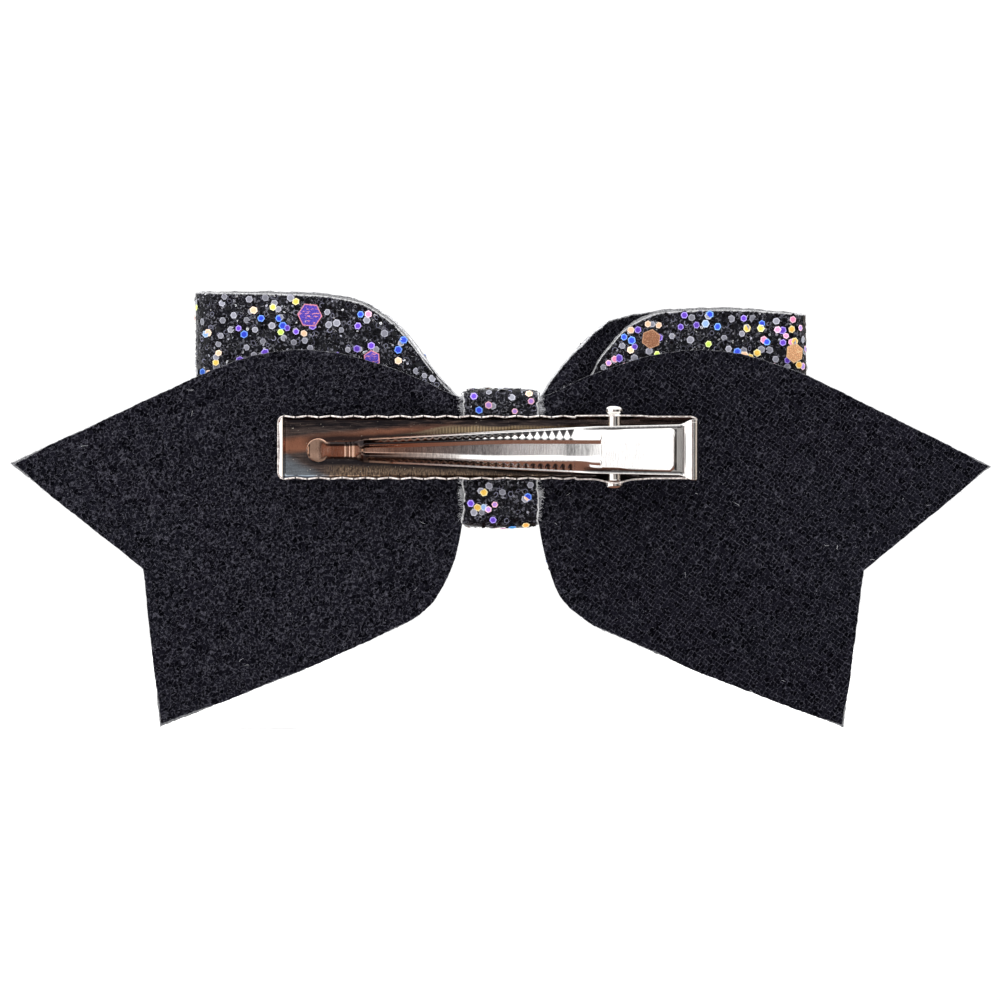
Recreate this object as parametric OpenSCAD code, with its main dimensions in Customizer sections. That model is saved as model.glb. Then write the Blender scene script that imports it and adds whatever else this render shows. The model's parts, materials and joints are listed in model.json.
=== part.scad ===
// Cheer hair bow: a glitter-faced bow with swallow-tail ends on a single-prong sprung clip.
// Frame: origin on the clip base's inner floor, straight behind the middle of the knot.
// +X along the clip towards the prong's tip, +Y out of the back of the bow, +Z up as worn.

/* [Sheet] */
// Thickness of the glitter-coated face sheet
face_t = 0.5; // [0.4:0.05:0.6]
// Thickness of the knitted backing
knit_t = 0.5; // [0.4:0.05:0.6]
// Thickness of the hot-melt glue between layers
glue_t = 0.4; // [0.2:0.05:0.6]

/* [Tails] */
// Half width of the bow, centre to the upper tip of a tail
tail_tip_x = 65.6; // [62:0.1:70]
// Height of a tail's upper tip from the knot's middle
tail_tip_z = -0.9; // [-3:0.1:1]
// Inner corner of the swallow tail, sideways
tail_notch_x = 48.5; // [47:0.1:50]
// Inner corner of the swallow tail, height
tail_notch_z = -15.0; // [-17:0.1:-13]
// Lower corner of a tail, sideways
tail_low_x = 45.9; // [44:0.1:47]
// Lower corner of a tail, height
tail_low_z = -35.9; // [-38:0.1:-34]
// Height of the rounded crest along a tail's top edge
tail_crest_z = 14.6; // [13:0.1:16]
// How far a tail's tip curves towards the wearer's head
tail_sweep = 1.4; // [0:0.1:2]

/* [Loops] */
// Half width of the loops, centre to the outer fold
loop_x = 41.0; // [39:0.1:43]
// Half height of a loop at its outer fold
loop_z = 20.9; // [19:0.1:22]
// Radius of the outer fold
fold_r = 2.7; // [2:0.1:3]
// How far the front of a loop stands forward of the knot
loop_puff = 9.4; // [7:0.1:11]

/* [Centre band] */
// Width of the band that gathers the bow
band_w = 10.1; // [9:0.1:11]
// Height of the band, top to bottom
band_h = 18.6; // [17:0.1:20]

/* [Clip] */
// Length of the clip's base
clip_l = 56.5; // [54:0.5:60]
// Width of the base across its rims
clip_w = 8.7; // [8.4:0.1:9.2]
// Thickness of the clip's sheet metal
clip_t = 0.5; // [0.4:0.05:0.6]
// Height of the base's side walls
wall_h = 2.0; // [1.6:0.1:2.2]
// Height of the pivot pin above the floor
pin_y = 4.2; // [4.0:0.05:4.4]
// Radius of the pivot pin's shaft
pin_r = 0.85; // [0.7:0.05:0.9]
// Pitch of the scallops along the base's walls
scallop_pitch = 3.1; // [2.8:0.1:3.4]
// Pitch of the prong's side teeth
tooth_pitch = 1.0; // [0.8:0.1:1.4]

/* [Hidden] */
slack = 0.05;
bond = 0.02;
far = 60;
steps = 9;
sheet_t = face_t + knit_t;

// Layers, from the clip's floor to the front of the knot
band_back = -clip_t - glue_t;
tails_back = band_back - sheet_t - slack;
tails_bond = tails_back - knit_t;
loops_rear = tails_back - sheet_t - glue_t;
loops_rear_bond = loops_rear - face_t;
loops_front = loops_rear - 2 * sheet_t - glue_t;
loops_front_bond = loops_front + face_t;
band_front = loops_front - slack - sheet_t;
band_mid = (band_back + band_front) / 2;
band_d = band_back - band_front;
band_corner_r = sheet_t + 0.3;
neck_z = band_h / 2 - sheet_t - 0.2;
neck_x = band_w / 2;

// The clip stands a little off the knot's middle, and the lever a little off the base's
clip_x = 1.7;
clip_z = 1.4;
lever_z = -0.35;
floor_hw = clip_w / 2 - 0.55;
rim_hw = clip_w / 2;
scallop_depth = 0.2;
end_wall_t = 0.9;
heel_wall_h = 1.0;
pin_x = -clip_l / 2 + 11.3;
pin_fit = 0.02;
pin_running = 0.06;
pin_l = clip_w + 2.5;
head_r = pin_r + 0.35;
head_t = 1.2;
ear_r = 1.55;
ear_foot = 2.95;

// The lever's top surface, tip to thumb end, in the clip's own X and Y
lever_t = 0.45;
tip_x = clip_l / 2 - 3.9;
tip_r = 1.6;
tip_lift = 0.05;
heel_x = -clip_l / 2;
prong_foot = [tip_x - 4.1, tip_lift + lever_t + 0.1];
prong_head = [pin_x + 5.4, pin_y + 1.4];
wall_from = tip_x - 7.3;
wall_foot_y = 0.14;
wall_rise = 0.065;
tooth_h = 0.35;
pad_low = [pin_x + 1.7, pin_y + 2.15];
pad_high = [heel_x + 3.3, pin_y + 4.4];
skirt = 0.5;
lever_hw = 3.3;
flange_x = 2.2;

// The spring on the pin
wire_r = 0.22;
coil_r = 1.2;
coil_turns = 8;
coil_pitch = 0.4;

// Curves and offsets
function bezier(a, b, c, d, n) =
    [for (i = [0 : n]) let (t = i / n, s = 1 - t)
        s * s * s * a + 3 * s * s * t * b + 3 * s * t * t * c + t * t * t * d];
function flip_x(points) =
    [for (i = [len(points) - 1 : -1 : 0]) [-points[i][0], points[i][1]]];
function flip_y(points) =
    [for (i = [len(points) - 1 : -1 : 0]) [points[i][0], -points[i][1]]];
function backwards(points) = [for (i = [len(points) - 1 : -1 : 0]) points[i]];
function unit(v) = v / norm(v);
function side_step(points, i, closed) =
    let (
        n = len(points),
        a = points[closed ? (i + n - 1) % n : max(i - 1, 0)],
        b = points[closed ? (i + 1) % n : min(i + 1, n - 1)],
        d = unit(b - a)
    ) [d[1], -d[0]];
function moved(points, by, closed = true) =
    [for (i = [0 : len(points) - 1]) points[i] + by * side_step(points, i, closed)];

// Front outlines, in X and Z
tail_half = concat(
    bezier([neck_x, neck_z], [neck_x + 5, neck_z + 1.5], [17, tail_crest_z], [27, tail_crest_z], steps),
    bezier([27.5, tail_crest_z], [33, tail_crest_z], [37, tail_crest_z - 1.7],
        [41.5, tail_crest_z - 4], 5),
    [[tail_tip_x, tail_tip_z], [tail_notch_x, tail_notch_z], [tail_low_x, tail_low_z]],
    bezier([13.4, tail_low_z + 13.1], [7.6, tail_low_z + 15.7], [6.2, -15], [neck_x, -neck_z], steps)
);
loop_top = concat(
    bezier([neck_x, neck_z], [10.5, 13.3], [12.5, loop_z], [24, loop_z + 0.2], steps + 2),
    [[loop_x + 1, loop_z]]
);
loop_half = concat(loop_top, flip_y(loop_top));

// Plan of the loops' strip, along the line where its two sheets are bonded, rear knot to front knot
fold_at = [loop_x - face_t - fold_r, loops_rear_bond - 0.2 - fold_r];
fold_end = fold_at + fold_r * [cos(-60), sin(-60)];
fold_way = [-cos(30), -sin(30)];
puff_y = loops_front_bond - loop_puff;
strip_half = concat(
    [[neck_x, loops_rear_bond]],
    [for (i = [0 : steps]) let (a = 90 - 150 * i / steps) fold_at + fold_r * [cos(a), sin(a)]],
    bezier(fold_end + fold_way, fold_end + 5 * fold_way, [29, puff_y], [22.5, puff_y], 6),
    bezier([21, puff_y], [13, puff_y], [11.5, loops_front_bond], [neck_x + 0.8, loops_front_bond], steps)
);
strip = concat(strip_half, flip_x(strip_half));

// Plan of the tails' sheet along its bond
tail_line = [for (i = [-8 : 8])
    let (x = i * 8.75) [x, tails_bond + tail_sweep * pow(x / tail_tip_x, 2)]];

// Shapes cut from sheet
module across_z(points) {
    linear_extrude(2 * far, center = true) polygon(points);
}

module through_y(points) {
    rotate([90, 0, 0])
        linear_extrude(2 * far, center = true) polygon(points);
}

module sheet_outline(half) {
    through_y(concat(half, flip_x(half)));
}

module tails_layer(from, to) {
    intersection() {
        across_z(concat(moved(tail_line, from, false), backwards(moved(tail_line, to, false))));
        sheet_outline(tail_half);
    }
}

module loops_layer(from, to) {
    intersection() {
        difference() {
            across_z(moved(strip, to));
            across_z(moved(strip, from));
        }
        sheet_outline(loop_half);
    }
}

function corner(cy, cz, r, a0) =
    [for (i = [0 : 6]) let (a = a0 + 15 * i) [cy + r * cos(a), cz + r * sin(a)]];
function band_ring(inset) =
    let (
        r = band_corner_r - inset,
        y = band_d / 2 - band_corner_r,
        z = band_h / 2 - band_corner_r
    ) concat(
        corner(band_mid + y, z, r, 0), corner(band_mid - y, z, r, 90),
        corner(band_mid - y, -z, r, 180), corner(band_mid + y, -z, r, 270)
    );

module band_layer(outer_inset, inner_inset) {
    rotate([90, 0, 90])
        linear_extrude(band_w, center = true)
            difference() {
                polygon(band_ring(outer_inset));
                polygon(band_ring(inner_inset));
            }
}

module glue_pad(y_back, thick, w, h, z_mid) {
    corner_r = 1.2;
    pts = concat(
        corner(w / 2 - corner_r, h / 2 - corner_r, corner_r, 0),
        corner(corner_r - w / 2, h / 2 - corner_r, corner_r, 90),
        corner(corner_r - w / 2, corner_r - h / 2, corner_r, 180),
        corner(w / 2 - corner_r, corner_r - h / 2, corner_r, 270)
    );
    translate([0, y_back - slack / 2, z_mid])
        rotate([90, 0, 0])
            linear_extrude(thick - slack) polygon(pts);
}

// Soft pieces
module tails_glitter_face() {
    color([0.07, 0.07, 0.09])
        tails_layer(bond / 2, face_t);
}

module tails_knit_backing() {
    color([0.05, 0.05, 0.06])
        tails_layer(-knit_t, -bond / 2);
}

module loops_glitter_face() {
    color([0.07, 0.07, 0.09])
        loops_layer(-bond / 2, -face_t);
}

module loops_knit_backing() {
    color([0.05, 0.05, 0.06])
        loops_layer(knit_t, bond / 2);
}

module band_glitter_face() {
    color([0.07, 0.07, 0.09])
        band_layer(0, face_t - bond / 2);
}

module band_knit_backing() {
    color([0.05, 0.05, 0.06])
        band_layer(face_t + bond / 2, sheet_t);
}

module glue_loop_seam() {
    color([0.85, 0.84, 0.78])
        glue_pad(loops_rear - sheet_t, glue_t, band_w - 2, 2 * neck_z - 4, 0);
}

module glue_loops_to_tails() {
    color([0.85, 0.84, 0.78])
        glue_pad(tails_back - sheet_t, glue_t, band_w - 2, 2 * neck_z - 4, 0);
}

module glue_clip_to_band() {
    color([0.85, 0.84, 0.78])
        glue_pad(-clip_t, glue_t, band_w - 1, clip_w - 2, clip_z);
}

// Clip base: a tray with scalloped walls, a closed tip end and two ears for the pin
scallop_from = clip_l / 2 - end_wall_t;
scallop_count = 12;
function scallop_edge(k) =
    rim_hw - scallop_depth * (1 - cos(60 * k)) / 2;
tray_half = concat(
    [[-clip_l / 2, rim_hw]],
    [for (k = [6 * scallop_count : -1 : 0])
        [scallop_from - scallop_pitch * k / 6, scallop_edge(k)]],
    [[clip_l / 2, rim_hw - 0.3]]
);

module tray() {
    intersection() {
        rotate([90, 0, 90])
            linear_extrude(clip_l, center = true)
                polygon([
                    [-clip_t, -floor_hw], [wall_h, -rim_hw], [wall_h, clip_t - rim_hw],
                    [0, clip_t - floor_hw], [0, floor_hw - clip_t], [wall_h, rim_hw - clip_t],
                    [wall_h, rim_hw], [-clip_t, floor_hw]
                ]);
        through_y(concat(flip_y(tray_half), tray_half));
        across_z([
            [-clip_l, -far], [clip_l, -far], [clip_l, far], [pin_x - 3.2, far],
            [pin_x - 5.4, heel_wall_h], [-clip_l, heel_wall_h]
        ]);
    }
}

module end_wall() {
    translate([clip_l / 2 - end_wall_t, -clip_t / 2, -floor_hw])
        cube([end_wall_t - 0.05, wall_h + clip_t / 2 - 0.1, 2 * floor_hw]);
}

module ear(z_low) {
    translate([pin_x, 0, z_low])
        linear_extrude(clip_t)
            union() {
                polygon([
                    [-ear_foot, wall_h - 0.9], [ear_foot, wall_h - 0.9],
                    [ear_foot, wall_h], [1.2, pin_y + 0.6], [-1.2, pin_y + 0.6], [-ear_foot, wall_h]
                ]);
                translate([0, pin_y]) circle(r = ear_r, $fn = 48);
            }
}

module on_clip() {
    translate([clip_x, 0, clip_z]) children();
}

module clip_base() {
    color([0.80, 0.80, 0.82])
        on_clip()
            difference() {
                union() {
                    tray();
                    end_wall();
                    ear(rim_hw - clip_t);
                    ear(-rim_hw);
                }
                translate([pin_x, pin_y, -clip_w])
                    cylinder(h = 2 * clip_w, r = pin_r + pin_fit, $fn = 48);
            }
}

module pivot_pin() {
    chamfer = 0.3;
    color([0.82, 0.82, 0.84])
        on_clip()
            translate([pin_x, pin_y, 0]) {
                cylinder(h = pin_l, r = pin_r, center = true, $fn = 48);
                for (s = [0, 1]) {
                    mirror([0, 0, s]) {
                        translate([0, 0, pin_l / 2 - head_t])
                            cylinder(h = head_t - chamfer, r = head_r, $fn = 48);
                        translate([0, 0, pin_l / 2 - chamfer])
                            cylinder(h = chamfer, r1 = head_r, r2 = head_r - chamfer, $fn = 48);
                    }
                }
            }
}

// Lever: a folded channel with side teeth, a raised thumb pad and a rolled heel
lever_top = [
    [tip_x, tip_lift + lever_t], prong_foot, prong_head,
    prong_head + [-0.9, 0.5], pad_low, pad_high,
    pad_high + [-0.4, -0.25], pad_high + [-1.1, -0.1], pad_high + [-1.4, 0.15],
    pad_high + [-2.4, 0.15], pad_high + [-3.1, -0.4], [heel_x, pad_high[1] - 1.3]
];
function wall_y(x) = wall_foot_y + (wall_from - x) * wall_rise;
tooth_n = floor((wall_from - 1 - pin_x - 3) / tooth_pitch);
lever_under = concat(
    [[heel_x, pad_high[1] - 1.7], [heel_x + lever_t, pad_high[1] - 1.7],
        [heel_x + 1.9, pad_high[1] - lever_t - skirt], pad_high - [0, lever_t + skirt + 0.1],
        pad_low - [flange_x + 2.4, skirt]],
    [[pin_x - flange_x, pin_y - 0.9], [pin_x - 0.9, pin_y - 1.75], [pin_x + 0.9, pin_y - 1.75]],
    [for (k = [tooth_n : -1 : 0]) each let (x = wall_from - 1 - tooth_pitch * k)
        [[x - tooth_pitch, wall_y(x - tooth_pitch)], [x - tooth_pitch / 2, wall_y(x) + tooth_h]]],
    [[wall_from - 1, wall_y(wall_from - 1)], [wall_from, prong_foot[1] - lever_t + 0.2],
        prong_foot - [0, lever_t], [tip_x, tip_lift]]
);
lever_cavity = concat(
    [for (i = [2 : 4]) lever_top[i] - [0, lever_t]],
    [pad_high - [0, lever_t], pad_high - [2.4, lever_t + 0.25],
        [heel_x + lever_t, pad_high[1] - 1.1], [heel_x + lever_t, -far], [wall_from - lever_t, -far],
        [wall_from - lever_t, prong_foot[1] + 0.15 * (prong_foot[0] - wall_from) - lever_t]]
);
lever_half = concat(
    [[heel_x, 4.0], [heel_x + 1.3, 3.9], [heel_x + 2.6, 3.4], [pin_x - 3, lever_hw + 0.05],
        [pin_x + 2, lever_hw], [2, 2.3], [wall_from, 1.45], [tip_x - 3.1, 1.5], [tip_x - 2.4, 1.35],
        [tip_x - 1.9, 1.55]],
    [for (i = [1 : 8]) let (a = 90 - 11.25 * i) [tip_x - tip_r + tip_r * cos(a), tip_r * sin(a)]]
);
cavity_half = [
    [heel_x + lever_t, lever_hw - 0.4], [pin_x - 3, lever_hw + 0.05 - lever_t],
    [pin_x + 2, lever_hw - lever_t], [2, 2.3 - lever_t], [wall_from, 1.45 - lever_t]
];
groove_from = pin_x + 1.6;
groove_depth = 0.25;
groove_half = [
    [groove_from, 0.9], [prong_head[0], 1.05], [wall_from - 1.2, 0.5], [wall_from - 0.7, 0.3]
];
ridges = [5.4, 6.0, 6.5];

module lever_blank() {
    intersection() {
        across_z(concat(lever_top, lever_under));
        through_y(concat(lever_half, flip_y(lever_half)));
    }
}

module clip_lever() {
    ridge_r = 0.22;
    ridge_sink = 0.08;
    color([0.85, 0.85, 0.87])
        on_clip() translate([0, 0, lever_z])
            difference() {
                union() {
                    difference() {
                        lever_blank();
                        intersection() {
                            across_z(lever_cavity);
                            through_y(concat(cavity_half, flip_y(cavity_half)));
                        }
                        intersection() {
                            across_z([
                                prong_foot + [0, 1], prong_foot - [0, groove_depth],
                                prong_head - [0, groove_depth], prong_head + [0, 1]
                            ]);
                            through_y(concat(groove_half, flip_y(groove_half)));
                        }
                    }
                    for (d = ridges) {
                        x = tip_x - d;
                        y = prong_foot[1] + (prong_foot[0] - x) * 0.153;
                        translate([x, y - ridge_sink, 0])
                            cylinder(h = 2.2, r = ridge_r, center = true, $fn = 24);
                    }
                }
                translate([pin_x, pin_y, 0])
                    cylinder(h = clip_w, r = pin_r + pin_running, center = true, $fn = 48);
            }
}

// Torsion spring: a close-wound coil on the pin, one leg on the floor and one under the thumb pad
module spring_leg(dx, from_y, to_y, z) {
    dy = to_y - from_y;
    lead = 0.5;
    translate([pin_x, from_y, z])
        rotate([0, 0, atan2(dy, -dx)])
            rotate([0, 90, 0])
                translate([0, 0, -lead])
                    cylinder(h = norm([dx, dy]) + lead, r = wire_r + 0.01, $fn = 48);
}

module clip_spring() {
    end_z = coil_pitch * (coil_turns - 1) / 2;
    leg_x = 7.8;
    color([0.65, 0.65, 0.68])
        on_clip() {
            translate([pin_x, pin_y, 0])
                rotate_extrude($fn = 72)
                    for (k = [0 : coil_turns - 1]) {
                        translate([coil_r, coil_pitch * k - end_z]) circle(r = wire_r, $fn = 48);
                    }
            spring_leg(leg_x, pin_y - coil_r, wire_r + 0.06, -end_z);
            spring_leg(leg_x, pin_y + coil_r, pad_high[1] - lever_t - wire_r - 0.12, end_z);
        }
}

tails_glitter_face();
tails_knit_backing();
loops_glitter_face();
loops_knit_backing();
band_glitter_face();
band_knit_backing();
glue_loop_seam();
glue_loops_to_tails();
glue_clip_to_band();
clip_base();
clip_lever();
pivot_pin();
clip_spring();
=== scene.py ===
"""Cheer hair bow: soft glitter-and-knit bow with a plated alligator clip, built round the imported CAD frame.

All shapes are worked out in millimetres and written to meshes in metres. X runs along the clip towards
its prong's tip, +Y out of the bow's back and +Z up.
"""

import json
import math

import bmesh
import bpy
import numpy as np
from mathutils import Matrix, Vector


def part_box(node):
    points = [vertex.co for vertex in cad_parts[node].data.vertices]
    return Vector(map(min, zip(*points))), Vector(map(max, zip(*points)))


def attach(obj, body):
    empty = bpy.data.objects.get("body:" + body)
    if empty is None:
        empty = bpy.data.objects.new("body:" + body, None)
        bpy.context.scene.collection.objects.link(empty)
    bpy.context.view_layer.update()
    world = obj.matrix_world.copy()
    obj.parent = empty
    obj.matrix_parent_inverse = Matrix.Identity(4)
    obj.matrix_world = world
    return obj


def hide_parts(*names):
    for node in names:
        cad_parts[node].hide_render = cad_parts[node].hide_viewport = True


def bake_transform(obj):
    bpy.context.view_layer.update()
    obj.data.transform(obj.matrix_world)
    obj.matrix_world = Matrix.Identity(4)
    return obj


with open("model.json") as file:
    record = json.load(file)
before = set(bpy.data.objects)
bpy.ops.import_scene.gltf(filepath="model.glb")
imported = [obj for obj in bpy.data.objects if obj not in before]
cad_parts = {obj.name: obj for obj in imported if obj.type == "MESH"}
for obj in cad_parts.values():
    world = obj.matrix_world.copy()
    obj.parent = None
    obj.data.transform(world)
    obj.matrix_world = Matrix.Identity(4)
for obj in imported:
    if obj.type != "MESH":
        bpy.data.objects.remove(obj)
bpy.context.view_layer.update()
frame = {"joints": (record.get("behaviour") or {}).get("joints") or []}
MM = 0.001


def box_mm(node):
    low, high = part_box(node)
    return np.array(low) / MM, np.array(high) / MM


KNIT_LO, KNIT_HI = box_mm("tails_knit_backing")
LOOP_LO, LOOP_HI = box_mm("loops_glitter_face")
BAND_LO, BAND_HI = box_mm("band_glitter_face")
BASE_LO, BASE_HI = box_mm("clip_base")
LEV_LO, LEV_HI = box_mm("clip_lever")
PIN_LO, PIN_HI = box_mm("pivot_pin")
PIN = np.array(frame["joints"][0]["pos_m"]) / MM
CLIP_Z = (BASE_LO[2] + BASE_HI[2]) / 2

# Each sheet is two layers on a shared bond line: a glitter face and a knit backing
LAYER_T, BOND = 0.49, 0.01
# Clip tray: bright end band, side walls, scallops of the walls and the rounded corners of the plan
END_BAND = 0.60
WALL_H, HEEL_WALL_H, METAL_T = 2.0, 0.88, 0.22
EAR_R, EAR_HALF, EAR_FOOT = 1.55, 1.3, 2.95
SCALLOP, SCALLOP_DEEP, SCALLOP_START, SCALLOPS_END = 3.12, 0.2, 0.9, PIN[0] + 5.2
PLAN_CORNER, HEEL_CORNER, DISH = 0.85, 1.1, 0.13


# ---------------------------------------------------------------- numbers and curves
def smooth(a, b, x):
    """0 at a, 1 at b, with a soft start and end. A single number comes back for a single x."""
    t = np.clip((np.asarray(x, float) - a) / (b - a), 0, 1)
    return t * t * (3 - 2 * t)


def unit(vectors):
    return vectors / np.maximum(np.linalg.norm(vectors, axis=-1, keepdims=True), 1e-9)


def travelled(points):
    """Distance along a line of points, from 0 at the first."""
    return np.r_[0, np.cumsum(np.linalg.norm(np.diff(points, axis=0), axis=1))]


def bezier(p0, p1, p2, p3, n=40):
    t = np.linspace(0, 1, n)[:, None]
    p0, p1, p2, p3 = (np.array(p, float) for p in (p0, p1, p2, p3))
    return (1 - t) ** 3 * p0 + 3 * (1 - t) ** 2 * t * p1 + 3 * (1 - t) * t * t * p2 + t**3 * p3


def resample(points, n):
    """The same line with n evenly spaced points."""
    points = np.array(points, float)
    points = points[np.r_[True, np.diff(travelled(points)) > 1e-9]]
    along = travelled(points)
    at = np.linspace(0, along[-1], n)
    return np.stack([np.interp(at, along, points[:, k]) for k in range(points.shape[1])], 1)


# Frequencies and heights of the waves that make a smooth random-looking line
WAVES = ((0.9, 1.0), (2.3, 0.6), (5.1, 0.35))
WAVES_PEAK = sum(height for _, height in WAVES)


def wobble(x, seed):
    """A smooth random-looking line about zero: the sum of a few sine waves with seeded phases."""
    phases = np.random.default_rng(seed).uniform(0, 2 * math.pi, len(WAVES))
    return sum(a * np.sin(f * np.asarray(x, float) + p) for (f, a), p in zip(WAVES, phases))


def curve_through(xs, ys):
    """Monotone cubic interpolation through a few points."""
    xs, ys = np.array(xs, float), np.array(ys, float)
    h, d = np.diff(xs), np.diff(ys) / np.diff(xs)
    turns = np.where(d[1:] * d[:-1] > 0, 2 * d[1:] * d[:-1] / (d[1:] + d[:-1] + 1e-12), 0)
    m = np.r_[d[0], turns, d[-1]]

    def at(x):
        x = np.clip(np.asarray(x, float), xs[0], xs[-1])
        i = np.clip(np.searchsorted(xs, x, side="right") - 1, 0, len(h) - 1)
        t = (x - xs[i]) / h[i]
        ends = ys[i] * (1 + 2 * t) * (1 - t) ** 2 + ys[i + 1] * t * t * (3 - 2 * t)
        return ends + h[i] * t * (1 - t) * (m[i] * (1 - t) - m[i + 1] * t)

    return at


# ---------------------------------------------------------------- meshes
def make_object(name, verts, faces, materials, face_slots=None, sharp_deg=40, values=None):
    """A mesh object. values holds, by attribute name, one number or one RGBA colour for each vertex."""
    mesh = bpy.data.meshes.new(name)
    mesh.from_pydata((np.asarray(verts, float) * MM).tolist(), [], faces)
    for mat in materials:
        mesh.materials.append(mat)
    if face_slots is not None:
        mesh.polygons.foreach_set("material_index", np.asarray(face_slots, np.int32))
    for key, column in (values or {}).items():
        column = np.asarray(column, np.float32)
        kind, field = ("FLOAT", "value") if column.ndim == 1 else ("FLOAT_COLOR", "color")
        mesh.attributes.new(key, kind, "POINT").data.foreach_set(field, column.ravel())
    bm = bmesh.new()
    bm.from_mesh(mesh)
    bmesh.ops.recalc_face_normals(bm, faces=bm.faces)
    bm.to_mesh(mesh)
    bm.free()
    mesh.shade_smooth()
    if sharp_deg:
        mesh.set_sharp_from_angle(angle=math.radians(sharp_deg))
    obj = bpy.data.objects.new(name, mesh)
    bpy.context.scene.collection.objects.link(obj)
    return obj


def settle(obj, node=None, body="bow"):
    """Hides the CAD node that a piece stands for and attaches the piece to the body that it rides on."""
    if node:
        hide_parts(node)
    if body:
        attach(obj, body)
    return obj


def grid_normals(grid, closed=False):
    du = np.roll(grid, -1, 0) - np.roll(grid, 1, 0) if closed else np.gradient(grid, axis=0)
    return unit(np.cross(du, np.gradient(grid, axis=1)))


def edge_distance(grid, closed=False):
    """Millimetres from each grid point to the nearest cut edge, measured along the grid's lines."""
    distances = []
    for axis in (1,) if closed else (1, 0):
        step = np.linalg.norm(np.diff(grid, axis=axis), axis=2)
        run = np.insert(np.cumsum(step, axis), 0, 0, axis)
        distances.append(np.minimum(run, np.take(run, [-1], axis) - run))
    return np.minimum.reduce(distances)


def sheet(name, grid, lift_a, lift_b, materials, closed=False, sharp_deg=50, values=None):
    """A closed thin solid on a grid of points: skins at lift_a and lift_b along its normals, and cut edges.

    The three materials are those of the first skin, the second skin and the cut edges.
    """
    n = grid_normals(grid, closed)
    verts = np.concatenate([(grid + n * lift).reshape(-1, 3) for lift in (lift_a, lift_b)])
    index = np.arange(len(verts) // 2).reshape(grid.shape[:2])
    if closed:
        index = np.concatenate([index, index[:1]], 0)
    other = index + len(verts) // 2

    def skin(i):
        return np.stack([i[:-1, :-1], i[1:, :-1], i[1:, 1:], i[:-1, 1:]], -1).reshape(-1, 4)

    borders = [(index[:, k], other[:, k]) for k in (0, -1)]
    if not closed:
        borders += [(index[k], other[k]) for k in (0, -1)]
    rim = np.concatenate([np.stack([p[:-1], p[1:], r[1:], r[:-1]], -1) for p, r in borders])
    parts = [skin(index), skin(other)[:, ::-1], rim]
    slots = np.repeat([0, 1, 2], [len(part) for part in parts])
    values = {"edge_mm": edge_distance(grid, closed)} | (values or {})
    both_skins = {key: np.tile(column.ravel(), 2) for key, column in values.items()}
    return make_object(name, verts, np.concatenate(parts).tolist(), materials, slots, sharp_deg, both_skins)


def layer(name, grid, out, materials, node, closed=True):
    """One layer of a bonded sheet, on the side of the bond line that out, 1 or -1, points to."""
    obj = sheet(name, grid, out * (BOND + LAYER_T), out * BOND, materials, closed)
    return settle(obj, node)


def tube_faces(sections, sides, start=0):
    """Faces between rings of vertices that follow each other, with both ends closed."""
    faces = []
    for k in range(sections - 1):
        for s in range(sides):
            a, b = start + k * sides + s, start + k * sides + (s + 1) % sides
            faces.append([a, b, b + sides, a + sides])
    faces.append([start + s for s in range(sides)][::-1])
    faces.append([start + (sections - 1) * sides + s for s in range(sides)])
    return faces


def tubes(paths, radii, sides=6):
    """Vertices and faces of round tubes along paths, with closed ends."""
    verts, faces = [], []
    turn = np.linspace(0, 2 * math.pi, sides, endpoint=False)[:, None]
    for path, radius in zip(paths, radii):
        way = unit(np.gradient(path, axis=0))
        side = np.cross(way[0], [0.31, 0.87, 0.39])
        faces += tube_faces(len(path), sides, sides * len(verts))
        for p, w, r in zip(path, way, np.broadcast_to(radius, len(path))):
            side = unit(side - w * (side @ w))
            verts.append(p + r * (np.cos(turn) * side + np.sin(turn) * np.cross(w, side)))
    return np.concatenate(verts), faces


def outward(grid, row, closed=False):
    """1 if the grid's normal in the middle of a row points to +Y, out of the bow's back, or else -1."""
    return float(np.sign(grid_normals(grid, closed)[row, grid.shape[1] // 2, 1]))


# ---------------------------------------------------------------- node graphs
class Value:
    """An output of a node. A sum with it makes a further node, on numbers or on vectors as the output is."""

    def __init__(self, graph, socket):
        self.graph, self.socket = graph, socket

    def __abs__(self):
        return self.graph.calc("ABSOLUTE", self)


for sign, sum_name in (("add", "ADD"), ("sub", "SUBTRACT"), ("mul", "MULTIPLY")):
    setattr(Value, f"__{sign}__", lambda a, b, name=sum_name: a.graph.calc(name, a, b))
    setattr(Value, f"__r{sign}__", lambda a, b, name=sum_name: a.graph.calc(name, b, a))


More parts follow.
